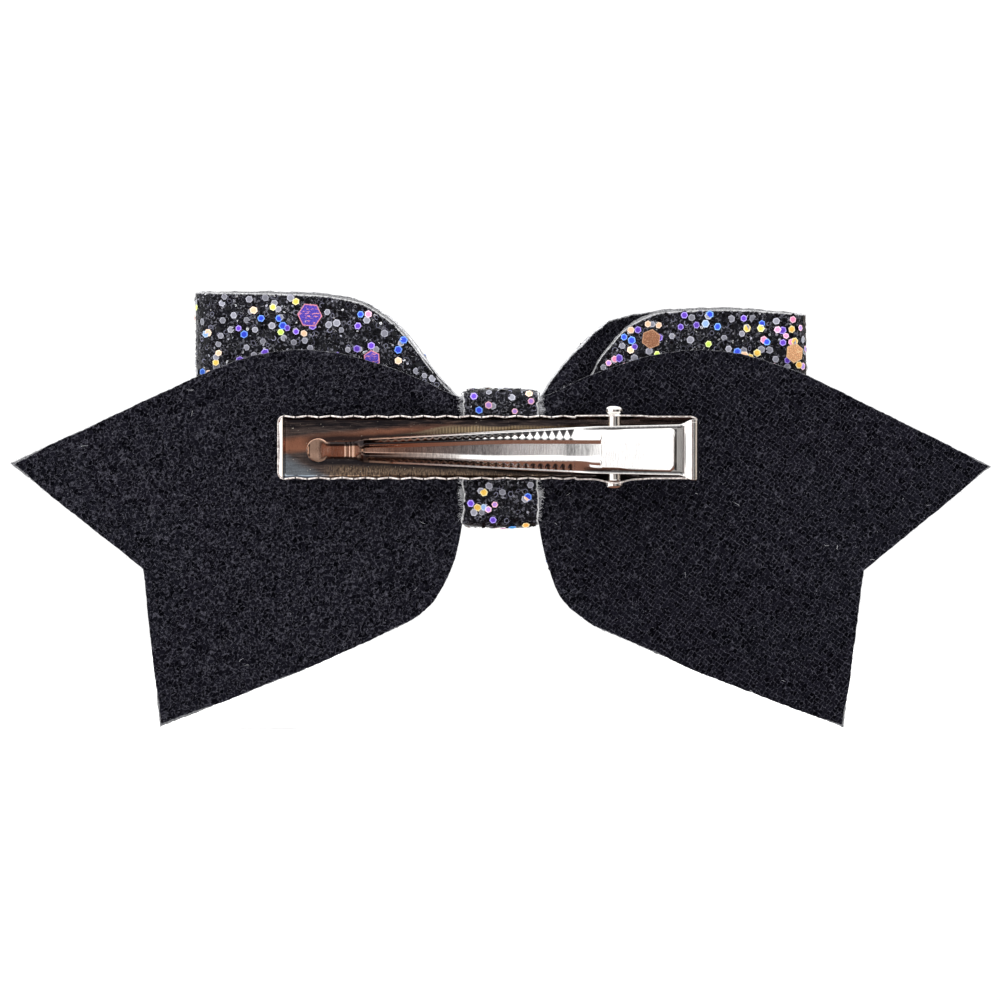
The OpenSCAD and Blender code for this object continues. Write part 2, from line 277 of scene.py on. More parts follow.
class Graph:
    """The nodes of a material or of the world. A socket takes a number, a tuple or a Value."""

    def __init__(self, owner):
        owner.use_nodes = True
        self.owner, self.tree = owner, owner.node_tree

    def put(self, socket, value):
        if isinstance(value, Value):
            self.tree.links.new(value.socket, socket)
        elif socket.type == "RGBA":
            socket.default_value = (*value, 1)
        elif socket.type == "VECTOR" and isinstance(value, float):
            socket.default_value = (value, value, value)
        else:
            socket.default_value = value

    def node(self, kind, inputs=None, **props):
        new = self.tree.nodes.new(kind)
        for key, value in props.items():
            setattr(new, key, value)
        for key, value in (inputs or {}).items():
            self.put(new.inputs[key], value)
        return new

    def out(self, kind, inputs=None, output=0, **props):
        return Value(self, self.node(kind, inputs, **props).outputs[output])

    def calc(self, operation, *values):
        """A sum on numbers, or on vectors when one of its values is a vector or a colour."""
        on_vectors = any(isinstance(v, Value) and v.socket.type != "VALUE" for v in values)
        kind = "ShaderNodeVectorMath" if on_vectors else "ShaderNodeMath"
        return self.out(kind, dict(enumerate(values)), operation=operation)

    def mix(self, share, a, b):
        """Colour a where share is 0 and b where it is 1. The node's sockets 6 and 7 are its colours."""
        return self.out("ShaderNodeMix", {0: share, 6: a, 7: b}, 2, data_type="RGBA")

    def coords(self, per_metre=1 / MM):
        """Object coordinates, in millimetres unless asked otherwise."""
        return self.out("ShaderNodeTexCoord", output="Object") * float(per_metre)

    def axes(self, vector):
        return [Value(self, s) for s in self.node("ShaderNodeSeparateXYZ", {"Vector": vector}).outputs]

    def noise(self, at, scale, detail=3.0, rough=0.55, output=0):
        inputs = {"Vector": at, "Scale": scale, "Detail": detail, "Roughness": rough}
        return self.out("ShaderNodeTexNoise", inputs, output)

    def cells(self, at, scale, output, randomness=1.0):
        """Each cell's own Color, or the Distance to the nearest border between cells."""
        feature = {"Color": "F1", "Distance": "DISTANCE_TO_EDGE"}[output]
        inputs = {"Vector": at, "Scale": scale, "Randomness": randomness}
        return self.out("ShaderNodeTexVoronoi", inputs, output, feature=feature)

    def between(self, value, low, high, to_low=0.0, to_high=1.0, way="LINEAR"):
        inputs = {"Value": value, "From Min": low, "From Max": high, "To Min": to_low, "To Max": to_high}
        return self.out("ShaderNodeMapRange", inputs, interpolation_type=way)

    def spread(self, noise, low, high):
        """Low to high, as the noise goes over its usual range."""
        return self.between(noise, 0.3, 0.7, low, high)

    def read(self, name, output="Fac"):
        return self.out("ShaderNodeAttribute", output=output, attribute_name=name)

    def bump(self, height, strength, distance_mm, **under):
        inputs = {"Height": height, "Strength": strength, "Distance": distance_mm * MM}
        return self.out("ShaderNodeBump", inputs | under)

    def finish(self, **inputs):
        shader = next(n for n in self.tree.nodes if n.type == "BSDF_PRINCIPLED")
        for key, value in inputs.items():
            self.put(shader.inputs[key.replace("_", " ").title().replace("Ior", "IOR")], value)
        return self.owner


def new_material(name):
    g = Graph(bpy.data.materials.new(name))
    return g, g.coords()


# ---------------------------------------------------------------- materials
# Lengths in these functions are millimetres, and colours are linear red, green and blue.
def knit_material(name, pale_rim, rim_rgb, rim_share, depth):
    """Fine black knit: a broken net of yarn with painted highlights, tidier towards -X, with painted glints
    on its fuzz and a frayed rim.
    """
    g, at = new_material(name)
    tidy = g.between(g.axes(at)[0], 4.0, -12.0)
    messy = g.between(tidy, 0.0, 1.0, 0.85, 0.4)
    drift = g.noise(at, 1.7, 2.0, 0.5, "Color") - 0.5
    moved = (at + drift * g.between(tidy, 0.0, 1.0, 0.9, 0.45)) * (1.0, depth, 1.0)
    moved = g.out("ShaderNodeVectorRotate", {"Vector": moved, "Angle": 0.62}, rotation_type="Y_AXIS")
    moved = moved * (1.0, 1.0, 0.8)
    luck = g.axes(g.cells(moved, 2.13, "Color", messy))[0]
    yarn = g.between(g.cells(moved, 2.13, "Distance", messy), 0.13, 0.03)
    breaks = g.between(g.noise(at, 2.6, 2.0, 0.8), 0.40, 0.62)
    fuzz = g.noise(at, 6.5, 3.0, 0.8)
    fuzz_glints = g.between(g.noise(at, 4.3, 1.0, 0.9), 0.735, 0.78)
    colour = g.mix(luck, (0.0004, 0.0004, 0.0010), (0.0062, 0.0060, 0.0095))
    colour = g.mix(g.noise(at, 0.10, 3.0) * 0.10, colour, (0.006, 0.006, 0.009))
    # painted highlight on the lit yarn of the net
    colour = g.mix(yarn * breaks * g.between(fuzz, 0.35, 0.7, 0.3, 1.0), colour, (0.074, 0.072, 0.090))
    # pale specks: painted glints on the fuzz
    colour = g.mix(fuzz_glints * 0.75, colour, (0.17, 0.17, 0.19))
    ragged = g.read("edge_mm") - g.noise(at, 2.2, 4.0, 0.8) * (2 * pale_rim)
    rim = g.between(ragged, -0.55 * pale_rim, -1.05 * pale_rim)
    return g.finish(
        base_color=g.mix(rim * rim_share, colour, rim_rgb),
        roughness=g.spread(fuzz, 0.82, 0.98),
        specular_ior_level=0.01,
        normal=g.bump(yarn * 0.6 + fuzz * 0.5, 0.8, 0.14),
    )


def glitter_material():
    """The bed the flakes lie in: black chips, some pale, with bright outlines and a frayed pale cut edge."""
    g, at = new_material("glitter_bed")
    small = g.cells(at, 3.8, "Color")
    luck = g.axes(small)[0]
    shade, outlined, height = g.axes(g.cells(at, 1.9, "Color"))
    colour = g.mix(shade, (0.0008, 0.0008, 0.0018), (0.008, 0.008, 0.012))
    colour = g.mix(g.between(luck, 0.80, 0.90) * 0.4, colour, (0.20, 0.20, 0.24))
    outline = g.between(g.cells(at, 1.9, "Distance"), 0.06, 0.015) * g.between(outlined, 0.5, 0.8)
    broken = g.between(g.noise(at, 3.0, 2.0), 0.45, 0.6)
    colour = g.mix(outline * broken * 0.8, colour, (0.36, 0.36, 0.40))
    ragged = g.read("edge_mm") - g.noise(at, 2.6, 4.0, 0.75) * 0.6
    rim = g.between(ragged, -0.06, -0.24)
    facing = g.out("ShaderNodeNewGeometry", output="Normal")
    tipped = g.calc("NORMALIZE", facing + (small - 0.5) * 0.6)
    height = g.between(g.cells(at, 3.8, "Distance"), 0.0, 0.12) + height * 0.8
    return g.finish(
        base_color=g.mix(rim, colour, (0.55, 0.55, 0.56)),
        metallic=(1.0 - rim) * 0.3,
        roughness=g.between(rim, 0.0, 1.0, 0.30, 0.8),
        specular_ior_level=0.12,
        normal=g.bump(height, 0.5, 0.1, Normal=tipped),
    )


def flake_material():
    """Glitter flakes: each has its own colour, a paler rim painted as an edge highlight, and a slight change
    of hue with angle.
    """
    g, at = new_material("glitter_flakes")
    rim_colour = g.read("rim_colour", "Color")
    hue = g.between(g.out("ShaderNodeLayerWeight", {"Blend": 0.35}, "Facing"), 0.0, 1.0, 0.5, 0.38)
    shifted = g.out("ShaderNodeHueSaturation", {"Color": g.read("flake_colour", "Color"), "Hue": hue})
    streaks = g.noise(at * (1.0, 1.0, 3.0), 1.6, 4.0, 0.7)
    streaked = g.mix(g.between(streaks, 0.56, 0.6), shifted, rim_colour)
    colour = g.mix(g.read("holo"), shifted, streaked)
    scuffs = g.noise(at, 6.0, 3.0)
    return g.finish(
        # the paler rim is a painted edge highlight
        base_color=g.mix(g.between(g.read("rim"), 0.66, 0.76) * 0.85, colour, rim_colour),
        metallic=g.read("metal"),
        roughness=g.spread(scuffs, 0.16, 0.34),
        specular_ior_level=0.2,
        coat_weight=0.06,
        coat_roughness=0.08,
        normal=g.bump(scuffs, 0.15, 0.03),
    )


def core_material():
    """The sheet's pale fibrous core, seen at cut edges."""
    g, at = new_material("sheet_core")
    strands = g.noise(at * (1.0, 3.0, 1.0), 4.0, 4.0, 0.8)
    return g.finish(
        base_color=g.mix(g.between(strands, 0.3, 0.7), (0.05, 0.05, 0.055), (0.46, 0.46, 0.47)),
        roughness=g.spread(g.noise(at, 9.0, 2.0), 0.7, 0.95),
        normal=g.bump(strands, 0.8, 0.12),
    )


def tray_painted_reflections(g, at, _):
    """Painted reflections and shade on the tray's inner skin, by place: e runs from the closed end to the
    heel, w up the floor.
    """
    x, y, z = g.axes(at)
    e = float(BASE_HI[0]) - x
    w = z - CLIP_Z + (g.noise(at * (0.3, 1.0, 1.0), 0.8, 3.0) - 0.5) * 0.9
    streaks = g.noise(at * (0.35, 1.0, 4.0), 1.1, 4.0, 0.7)
    grain = g.noise(at * (5.0, 1.0, 1.2), 1.3, 3.0, 0.8)
    # painted reflection: dark and brown streaks over the floor
    colour = g.mix(g.between(streaks, 0.35, 0.65), (0.07, 0.055, 0.055), (0.28, 0.21, 0.19))

    # painted copper reflection in a band along the floor
    copper_reflection = g.between(abs(w - (e * 0.105 + 0.1)), 1.35, 0.5) * g.between(e, 27, 15)
    colour = g.mix(copper_reflection, colour, (0.66, 0.29, 0.18))

    # painted gold reflection with ribs, edged by a painted glint
    below = e * 0.161 - 0.95 - w
    ribs = (g.calc("SINE", x * (2 * math.pi / 0.42)) + 1.0) * 0.5
    gold = g.between(below, -0.1, 0.35) * g.between(w, 3.0, 2.7) * g.between(e, 14, 22) * g.between(e, 42, 37)
    colour = g.mix(gold, colour, g.mix(ribs, (0.46, 0.34, 0.20), (0.92, 0.70, 0.44)))
    glint = g.between(abs(below), 0.22, 0.0) * g.between(e, 12, 16) * g.between(e, 26, 22)
    colour = g.mix(glint * 0.7, colour, (0.85, 0.68, 0.45))

    # painted reflections: a brown lower strip, a dark upper strip and a blue-grey patch
    low_strip = g.between(w, -1.9, -2.5) * g.between(e, 5.5, 8.5)
    brown = g.mix(g.between(grain, 0.38, 0.66), (0.045, 0.03, 0.028), (0.60, 0.43, 0.30))
    colour = g.mix(low_strip, colour, brown)
    high_strip = g.calc("MAXIMUM", g.between(w, 2.4, 2.9) * g.between(e, 26, 16), g.between(w, 2.95, 3.25))
    high_strip = high_strip * g.between(streaks, 0.75, 0.45) * g.between(e, 44, 38, 0.35, 1.0)
    colour = g.mix(high_strip, colour, (0.035, 0.030, 0.036))
    blue_grey = g.mix(streaks, (0.16, 0.19, 0.23), (0.46, 0.52, 0.58))
    colour = g.mix(g.between(e * -0.52 - 0.25 - w, -0.2, 1.0, 0.0, 0.9), colour, blue_grey)

    # painted shadow and reflection of the lever: dark beside it
    middle = w + 0.35
    past_lever = abs(middle) - g.calc("MINIMUM", g.calc("MAXIMUM", e * 0.05 + 1.02, 1.2), 3.2)
    sides = g.calc("MAXIMUM", g.between(middle, 0.1, -0.1), g.between(e, 26, 18))
    painted_lever_shade = g.between(past_lever, 0.95, 0.25) * g.between(past_lever, -0.9, -0.1)
    painted_lever_shade = painted_lever_shade * sides * g.between(e, 3.0, 5.0)
    colour = g.mix(painted_lever_shade * 0.92, colour, (0.030, 0.028, 0.034))
    colour = g.mix(g.between(grain, 0.60, 0.75, 0.0, 0.35), colour, (0.02, 0.018, 0.018))
    # painted sparkle highlights
    painted_sparkles = g.between(g.noise(at, 3.9, 1.0, 0.9), 0.73, 0.77)
    colour = g.mix(painted_sparkles * 0.8, colour, (1.0, 0.92, 0.80))
    up_the_walls = g.between(y, 0.30, 0.60)
    colour = g.mix(up_the_walls, colour, (0.20, 0.165, 0.16))
    return g.mix(g.between(e, END_BAND + 0.25, END_BAND + 0.15), colour, (0.95, 0.91, 0.89))


def lever_painted_light(g, at, plate):
    """The lever's plate, with a painted copper reflection towards its tip and painted shade as far as the
    tone attribute says.
    """
    patchy = g.noise(at * (3.0, 1.0, 0.6), 1.3, 4.0, 0.7)
    tone = g.read("tone")
    tone = tone * g.between(patchy * g.between(tone, 0.9, 0.7), 0.3, 0.7, 1.0, 0.35)
    copper_reflection = g.mix(patchy, (0.52, 0.30, 0.21), (0.80, 0.54, 0.42))
    towards_tip = g.between(g.axes(at)[0], LEV_HI[0] - 22, LEV_HI[0] - 12)
    return g.mix(tone, (0.018, 0.016, 0.018), g.mix(towards_tip, plate, copper_reflection))


def nickel_material(name, brushed, tint, ripple, painted_light=None, stretch=(6.0, 1.0, 0.5)):
    """Bright nickel plate on stamped steel: fine brushing along stretch, smudges, pits and a soft ripple."""
    g, at = new_material(name)
    lines = g.noise(at * stretch, 1.5, 4.0, 0.65)
    smudge = g.noise(at, 0.35, 4.0, 0.6)
    pits = g.between(g.noise(at, 3.3, 2.0, 0.9), 0.74, 0.80)
    waves = g.noise(at * (0.8, 1.0, 1.3), 0.15, 2.0)
    colour = g.mix(smudge, tint, tuple(c * 0.9 for c in tint))
    # painted reflections and shade laid over the plate's colour, where given
    if painted_light:
        colour = painted_light(g, at, colour)
    fine = g.bump(lines * brushed + pits * -0.8, 0.22, 0.03)
    return g.finish(
        base_color=g.mix(pits * 0.25, colour, (0.35, 0.3, 0.26)),
        metallic=1.0,
        roughness=g.spread(lines, 0.05, 0.05 + 0.16 * brushed) + smudge * 0.06,
        normal=g.bump(waves, 1.0, ripple, Normal=fine),
    )


def edge_material(name, creased=False):
    """The sheared edge of the plated sheet, rougher than its face, with painted shade in the creases between
    scallops.
    """
    g, at = new_material(name)
    worn = g.noise(at, 2.4, 4.0, 0.7)
    burr = g.noise(at * (6.0, 1.0, 1.0), 1.2, 2.0)
    colour = g.mix(g.between(worn, 0.42, 0.6), (0.96, 0.90, 0.87), (0.36, 0.30, 0.28))
    if creased:
        x = g.axes(at)[0]
        turns = (x - (BASE_HI[0] - SCALLOP_START - SCALLOP / 4)) * (2 / SCALLOP)
        off = abs(g.calc("FRACT", turns) - 0.5)
        # painted shade in the creases between scallops
        crease = g.between(off, 0.085, 0.045) * g.between(x, SCALLOPS_END, SCALLOPS_END + 0.5)
        colour = g.mix(crease, colour, (0.03, 0.026, 0.03))
    rough = g.spread(burr, 0.35, 0.6)
    return g.finish(base_color=colour, metallic=0.45, roughness=rough, normal=g.bump(burr, 0.3, 0.04))


def wire_material():
    """Drawn spring steel, greyer than the plate."""
    g, at = new_material("spring_wire")
    drawn = g.noise(at * 4.0, 1.6, 3.0, 0.6)
    colour = g.mix(drawn, (0.42, 0.41, 0.40), (0.62, 0.61, 0.60))
    rough = g.spread(drawn, 0.22, 0.42)
    return g.finish(base_color=colour, metallic=1.0, roughness=rough, normal=g.bump(drawn, 0.2, 0.02))


def glue_material():
    """Cloudy hot-melt glue, drawn out lengthwise."""
    g, at = new_material("hot_melt_glue")
    ripple = g.noise(at * (0.5, 2.0, 2.0), 1.2, 2.0)
    return g.finish(
        base_color=g.mix(g.noise(at, 0.8, 4.0), (0.55, 0.52, 0.44), (0.78, 0.76, 0.68)),
        roughness=g.spread(ripple, 0.22, 0.4),
        subsurface_weight=0.3,
        subsurface_scale=0.001,
        normal=g.bump(ripple, 0.4, 0.2),
    )


def lint_material():
    """Loose pale fibres."""
    g, at = new_material("lint_fibre")
    tone = g.noise(at, 1.3, 2.0)
    colour = g.mix(tone, (0.30, 0.30, 0.32), (0.75, 0.75, 0.78))
    return g.finish(base_color=colour, roughness=0.7, normal=g.bump(tone, 0.2, 0.01))


KNIT_TAIL = knit_material("knit_backing", 0.16, (0.30, 0.30, 0.32), 0.5, 0.02)
KNIT_LOOP = knit_material("knit_lining", 0.48, (0.60, 0.60, 0.62), 0.9, 0.6)
GLITTER = glitter_material()
FLAKE = flake_material()
CORE = core_material()
NICKEL_TRAY = nickel_material("nickel_tray", 1.0, (0.88, 0.84, 0.80), 0.12, tray_painted_reflections)
NICKEL_SHELL = nickel_material("nickel_shell", 0.8, (0.88, 0.86, 0.84), 0.05)
NICKEL_LEVER = nickel_material("nickel_lever", 0.8, (0.92, 0.90, 0.88), 0.04, lever_painted_light)
NICKEL_PIN = nickel_material("nickel_pin", 0.3, (0.88, 0.86, 0.83), 0.02, stretch=(0.35, 6.0, 6.0))
EDGE = edge_material("nickel_edge")
RIM = edge_material("nickel_rim", creased=True)
WIRE = wire_material()
GLUE = glue_material()
LINT = lint_material()


# ---------------------------------------------------------------- tails
NECK_X, NECK_Z = BAND_HI[0], BAND_HI[2] - 1.2
TAIL_TIP_X, CREST_Z, LOW_Z = KNIT_HI[0], KNIT_HI[2], KNIT_LO[2]
SWEEP = KNIT_HI[1] - KNIT_LO[1] - LAYER_T
TAIL_Y = KNIT_LO[1] - BOND
COLS, ROWS, NECK_COLS = 170, 92, 10
TIP_ROWS = int(ROWS * 0.46)


def tail_sides(side):
    """Top, bottom and outer border of one tail in X and Z. The tails differ slightly, as cut by hand."""
    off = 0.0 if side > 0 else 0.4
    tip = (TAIL_TIP_X + 0.45, -0.7 - off)
    notch = (48.1 + 2 * off, -14.9 - 0.7 * off)
    low = (45.9 + 0.7 * off, LOW_Z - 0.4)
    top = np.concatenate([
        bezier((NECK_X, NECK_Z), (NECK_X + 4.6, NECK_Z + 1.4), (17.2, CREST_Z), (27.0, CREST_Z)),
        bezier((27.2, CREST_Z), (33, CREST_Z - 0.1), (37, CREST_Z - 1.9), (41.5, CREST_Z - 3.9 + off)),
        [tip],
    ])
    bottom = np.concatenate([
        bezier((NECK_X, -NECK_Z), (5.9, -14.6), (7.6, -19.9 - off), (13.4, -22.6 - off)),
        [(26.9, -28.8 - off / 2), low],
    ])
    outer = [resample([tip, notch], TIP_ROWS)[:-1], resample([notch, low], ROWS - TIP_ROWS + 1)]
    return top, bottom, np.concatenate(outer)


def patch(top, bottom, left, right):
    """Coons patch: a grid whose four borders are the given lines."""
    s = np.linspace(0, 1, len(top))[:, None, None]
    t = np.linspace(0, 1, len(left))[None, :, None]
    across = (1 - t) * top[:, None] + t * bottom[:, None]
    down = (1 - s) * left[None] + s * right[None]
    corners = (1 - s) * ((1 - t) * top[0] + t * bottom[0]) + s * ((1 - t) * top[-1] + t * bottom[-1])
    return across + down - corners


def knot_creases(x, z, half_height, amount):
    """Soft folds that fan out from the knot and fade, shared by every layer so that none cuts another."""
    ax = np.abs(x)
    grow = smooth(NECK_X, NECK_X + 3.5, ax) * np.exp(-np.clip(ax - 8.5, 0, None) / 8.0)
    q = z / np.maximum(half_height, 1)
    fold = np.cos(2 * math.pi * (1.25 * q + 0.12)) + 0.35 * np.cos(2 * math.pi * (2.3 * q + 0.4))
    return amount * grow * fold


def tail_depth(x, z):
    """Y of the tails' bond line: swept towards the tips, slightly warped, creased at the knot."""
    ax = np.abs(x)
    warp = 0.35 * np.sin(z / 11 + 0.8 * np.sign(x)) * smooth(14, 45, ax)
    warp = warp + 0.25 * np.sin(ax / 9 + z / 17) * smooth(12, 30, ax)
    creases = knot_creases(x, z, 8 + 14 * smooth(5, 22, ax), 0.32)
    return TAIL_Y + SWEEP * (x / TAIL_TIP_X) ** 2 + warp + creases


def tail_plan():
    left_line = np.stack([np.full(ROWS, NECK_X), np.linspace(NECK_Z, -NECK_Z, ROWS)], 1)
    halves = []
    for side in (1, -1):
        top, bottom, outer = tail_sides(side)
        halves.append(patch(resample(top, COLS), resample(bottom, COLS), left_line, outer) * [side, 1])
    neck_x = np.linspace(-NECK_X, NECK_X, NECK_COLS + 2)[1:-1]
    neck = np.stack(np.broadcast_arrays(neck_x[:, None], left_line[None, :, 1]), -1)
    return np.concatenate([halves[1][::-1], neck, halves[0]])


# Where the glitter sheet shows past the knit: x and z of the place, its radius, how far the knit is drawn in
SHOWING = [
    (64.5, -1.0, 3.0, 0.38), (43.5, -35.0, 5.0, 0.36), (7.0, -17.5, 2.6, 0.55), (-64.5, -1.5, 2.0, 0.30),
    (-46.0, -35.0, 2.5, 0.30), (30.0, -30.5, 4.0, 0.22), (-20.0, -26.0, 3.0, 0.20), (55.0, 3.0, 3.0, 0.12),
]


def knit_inset(x, z):
    drawn = 0.03 * np.ones_like(x)
    for at_x, at_z, reach, depth in SHOWING:
        drawn += depth * np.exp(-((x - at_x) ** 2 + (z - at_z) ** 2) / reach**2)
    return drawn


def glitter_inset(x, z):
    return np.full_like(x, 0.10)


def tail_grid(plan, inset, depth, seed):
    """The plan, its border pulled in by inset and roughened by depth, laid on the tails' surface."""
    out = plan.copy()
    rng = np.random.default_rng(seed)

    def pull(line, inner):
        ragged = 0.5 * wobble(travelled(line), seed) / WAVES_PEAK + 0.5 * rng.uniform(-1, 1, len(line))
        rough = inset(line[:, 0], line[:, 1]) + depth * ragged
        return line + unit(inner - line) * np.clip(rough, -0.3, 0.8)[:, None]

    out[:, 0] = pull(plan[:, 0], plan[:, 1])
    out[:, -1] = pull(plan[:, -1], plan[:, -2])
    out[0] = pull(out[0], plan[1])
    out[-1] = pull(out[-1], plan[-2])
    x, z = out[..., 0], out[..., 1]
    return np.stack([x, tail_depth(x, z), z], -1)


TAIL_PLAN = tail_plan()
TAIL_FACE = tail_grid(TAIL_PLAN, glitter_inset, 0.10, 5)
TAIL_KNIT = tail_grid(TAIL_PLAN, knit_inset, 0.08, 6)
TAIL_OUT = outward(TAIL_FACE, COLS // 2)
layer("tails_knit", TAIL_KNIT, TAIL_OUT, [KNIT_TAIL] * 3, "tails_knit_backing", closed=False)
layer("tails_glitter", TAIL_FACE, -TAIL_OUT, [GLITTER, CORE, CORE], "tails_glitter_face", closed=False)

# ---------------------------------------------------------------- loops
LOOP_X, REAR_Y = LOOP_HI[0] + 0.35, LOOP_HI[1] - 0.5
FRONT_PUFF_Y, FRONT_NECK_Y = LOOP_LO[1] + 0.5, BAND_LO[1] + 1.55
FOLD_R, FOLD_END_DEG = 2.7, 58
RING_HALF, LOOP_ROWS = 150, 96
# Height of the loops' upper edge against distance from the knot: front and rear layer, left and right loop
EDGE_TOP = {
    (1, "front"): curve_through(
        [0, 5.1, 7.5, 9.5, 11.5, 13.5, 15.5, 19.5, 25.6, 42],
        [8.1, 8.1, 10.2, 12.5, 15.2, 17.6, 19.3, 21.4, 22.3, 22.4],
    ),
    (1, "rear"): curve_through(
        [0, 5.1, 7.5, 9.5, 11.5, 13.5, 15.5, 19.5, 25.6, 42],
        [8.0, 8.0, 9.7, 12.0, 14.7, 17.1, 18.9, 21.1, 22.0, 22.4],
    ),
    (-1, "front"): curve_through(
        [0, 5.1, 6.6, 8.7, 10.7, 12.7, 14.7, 18.7, 24.8, 32.8, 42],
        [8.1, 8.1, 10.2, 12.9, 15.0, 17.0, 18.4, 19.4, 20.1, 20.1, 19.3],
    ),
    (-1, "rear"): curve_through(
        [0, 5.1, 9.0, 12.2, 13.3, 14.9, 16.9, 19.1, 21.6, 30, 42],
        [7.8, 7.8, 8.8, 11.0, 13.2, 15.2, 17.4, 18.7, 19.6, 20.0, 19.3],
    ),
}


def loop_side_plan():
    """Plan of one loop's bond line, rear knot to front knot, in X and Y."""
    centre = np.array([LOOP_X - 0.5 - FOLD_R, REAR_Y - 0.35 - FOLD_R])
    a = np.radians(np.linspace(90, -FOLD_END_DEG, 40))[:, None]
    arc = centre + FOLD_R * np.concatenate([np.cos(a), np.sin(a)], 1)
    way = -np.array([math.sin(math.radians(FOLD_END_DEG)), math.cos(math.radians(FOLD_END_DEG))])
    rear = bezier((0, REAR_Y), (14, REAR_Y), (26, REAR_Y + 0.1), arc[0] - [0.3, 0])
    front = bezier(arc[-1] + way * 0.3, arc[-1] + way * 5.5, (29, FRONT_PUFF_Y), (22, FRONT_PUFF_Y))
    back_in = bezier((21.6, FRONT_PUFF_Y), (13.5, FRONT_PUFF_Y), (11.5, FRONT_NECK_Y), (5.9, FRONT_NECK_Y))
    return resample(np.concatenate([rear, arc, front, back_in, [(0, FRONT_NECK_Y)]]), RING_HALF)


def loop_grid():
    """Both loops' bond line as one closed ring of lines, each from the upper edge to the lower."""
    x, y = loop_side_plan().T
    order = np.arange(len(x))
    fold = int(np.argmax(x))
    is_front = smooth(fold - 4, fold + 20, order)[:, None]
    front_share = smooth(fold - 12, fold + 12, order)
    v = np.linspace(0, 1, LOOP_ROWS)[None]
    grids = []
    for sign in (1, -1):
        top = (1 - front_share) * EDGE_TOP[sign, "rear"](x) + front_share * EDGE_TOP[sign, "front"](x)
        low = -0.97 * top - 0.4 * smooth(8, 20, x)
        z = top[:, None] * (1 - v) + low[:, None] * v
        half_height = np.abs(top)[:, None]
        q = z / np.maximum(half_height, 1)
        crown = (y[:, None] - FRONT_NECK_Y) * is_front * (-0.10 * q**2 + 0.05 * np.sin(2.2 * q + sign))
        crease = knot_creases(x[:, None], z, half_height, 1.0) * (0.30 * (1 - is_front) + 0.95 * is_front)
        sway = 0.22 * np.sin(z / 7 + sign) * smooth(15, 38, x)[:, None] * (1 - is_front)
        lean = 0.35 * np.sin(q * 1.7 + sign) * smooth(34, 41, x)[:, None]
        along = sign * (x[:, None] - np.abs(lean) * 0.6)
        grids.append(np.stack([along, y[:, None] + crown + crease + sway, z], -1))
    right, left = grids
    return np.concatenate([right[:-1], left[::-1][:-1]])


def lining_grid():
    """The loops' lining: the same surface, its cut edges long and ragged, so that they show as a pale rim."""
    grid = LOOP_GRID.copy()
    rng = np.random.default_rng(9)
    run = travelled(grid[:, 0])
    ax = np.abs(grid[:, 0, 0])
    long = 0.10 + 0.22 * smooth(6, 14, ax) * smooth(41, 30, ax)
    for column, inner, seed in ((0, 1, 71), (-1, -2, 72)):
        rough = long + 0.05 * wobble(run * 1.7, seed) + 0.05 * rng.uniform(-1, 1, len(run))
        grid[:, column] += unit(grid[:, column] - LOOP_GRID[:, inner]) * np.clip(rough, 0.0, 0.5)[:, None]
    return grid


LOOP_GRID = loop_grid()
LOOP_OUT = outward(LOOP_GRID, 20, closed=True)
layer("loops_glitter", LOOP_GRID, LOOP_OUT, [GLITTER, CORE, CORE], "loops_glitter_face")
layer("loops_knit", lining_grid(), -LOOP_OUT, [KNIT_LOOP, CORE, KNIT_LOOP], "loops_knit_backing")

# ---------------------------------------------------------------- centre band
BAND_ROWS, BAND_COLS, BAND_CORNER = 40, 160, 1.1


def band_grid():
    """The band's bond line round the knot, with ragged side edges and a soft crown across its width."""
    centre = np.array([(BAND_LO[1] + BAND_HI[1]) / 2, 0])
    half = np.array([(BAND_HI[1] - BAND_LO[1]) / 2, BAND_HI[2]]) - 0.5
    turn = []
    for corner, start_deg in (((1, 1), 0), ((-1, 1), 90), ((-1, -1), 180), ((1, -1), 270)):
        a = np.radians(start_deg + np.linspace(0, 90, 14))[:, None]
        arc = BAND_CORNER * np.concatenate([np.cos(a), np.sin(a)], 1)
        turn.append(centre + np.array(corner) * (half - BAND_CORNER) + arc)
    y, z = resample(np.concatenate(turn + [turn[0][:1]]), BAND_COLS + 1)[:-1].T[..., None]
    v = np.linspace(-1, 1, BAND_ROWS)[None]
    run = np.linspace(0, 2 * math.pi * 8, BAND_COLS)[:, None]
    edge = 1 + 0.018 * np.where(v > 0, wobble(run, 21), wobble(run, 22))
    x = NECK_X * v * np.where(np.abs(v) > 0.9, edge, 1)
    tuck = 0.42 * np.abs(v) ** 5 * smooth(6.5, 9, np.abs(z))
    return np.stack([x, y + 0.05 * wobble(v * 3 + z / 3, 23), z - np.sign(z) * tuck], -1)


BAND_GRID = band_grid()
BAND_OUT = outward(BAND_GRID, -5, closed=True)
layer("band_glitter", BAND_GRID, BAND_OUT, [GLITTER, CORE, CORE], "band_glitter_face")
layer("band_knit", BAND_GRID, -BAND_OUT, [KNIT_LOOP, CORE, CORE], "band_knit_backing")

# ---------------------------------------------------------------- glitter flakes
# Half thickness of a flake, radius from which its rim is at its plain width, its corners and two middles
FLAKE_T, PLAIN_R, FLAKE_POINTS = 0.02, 0.55, 8
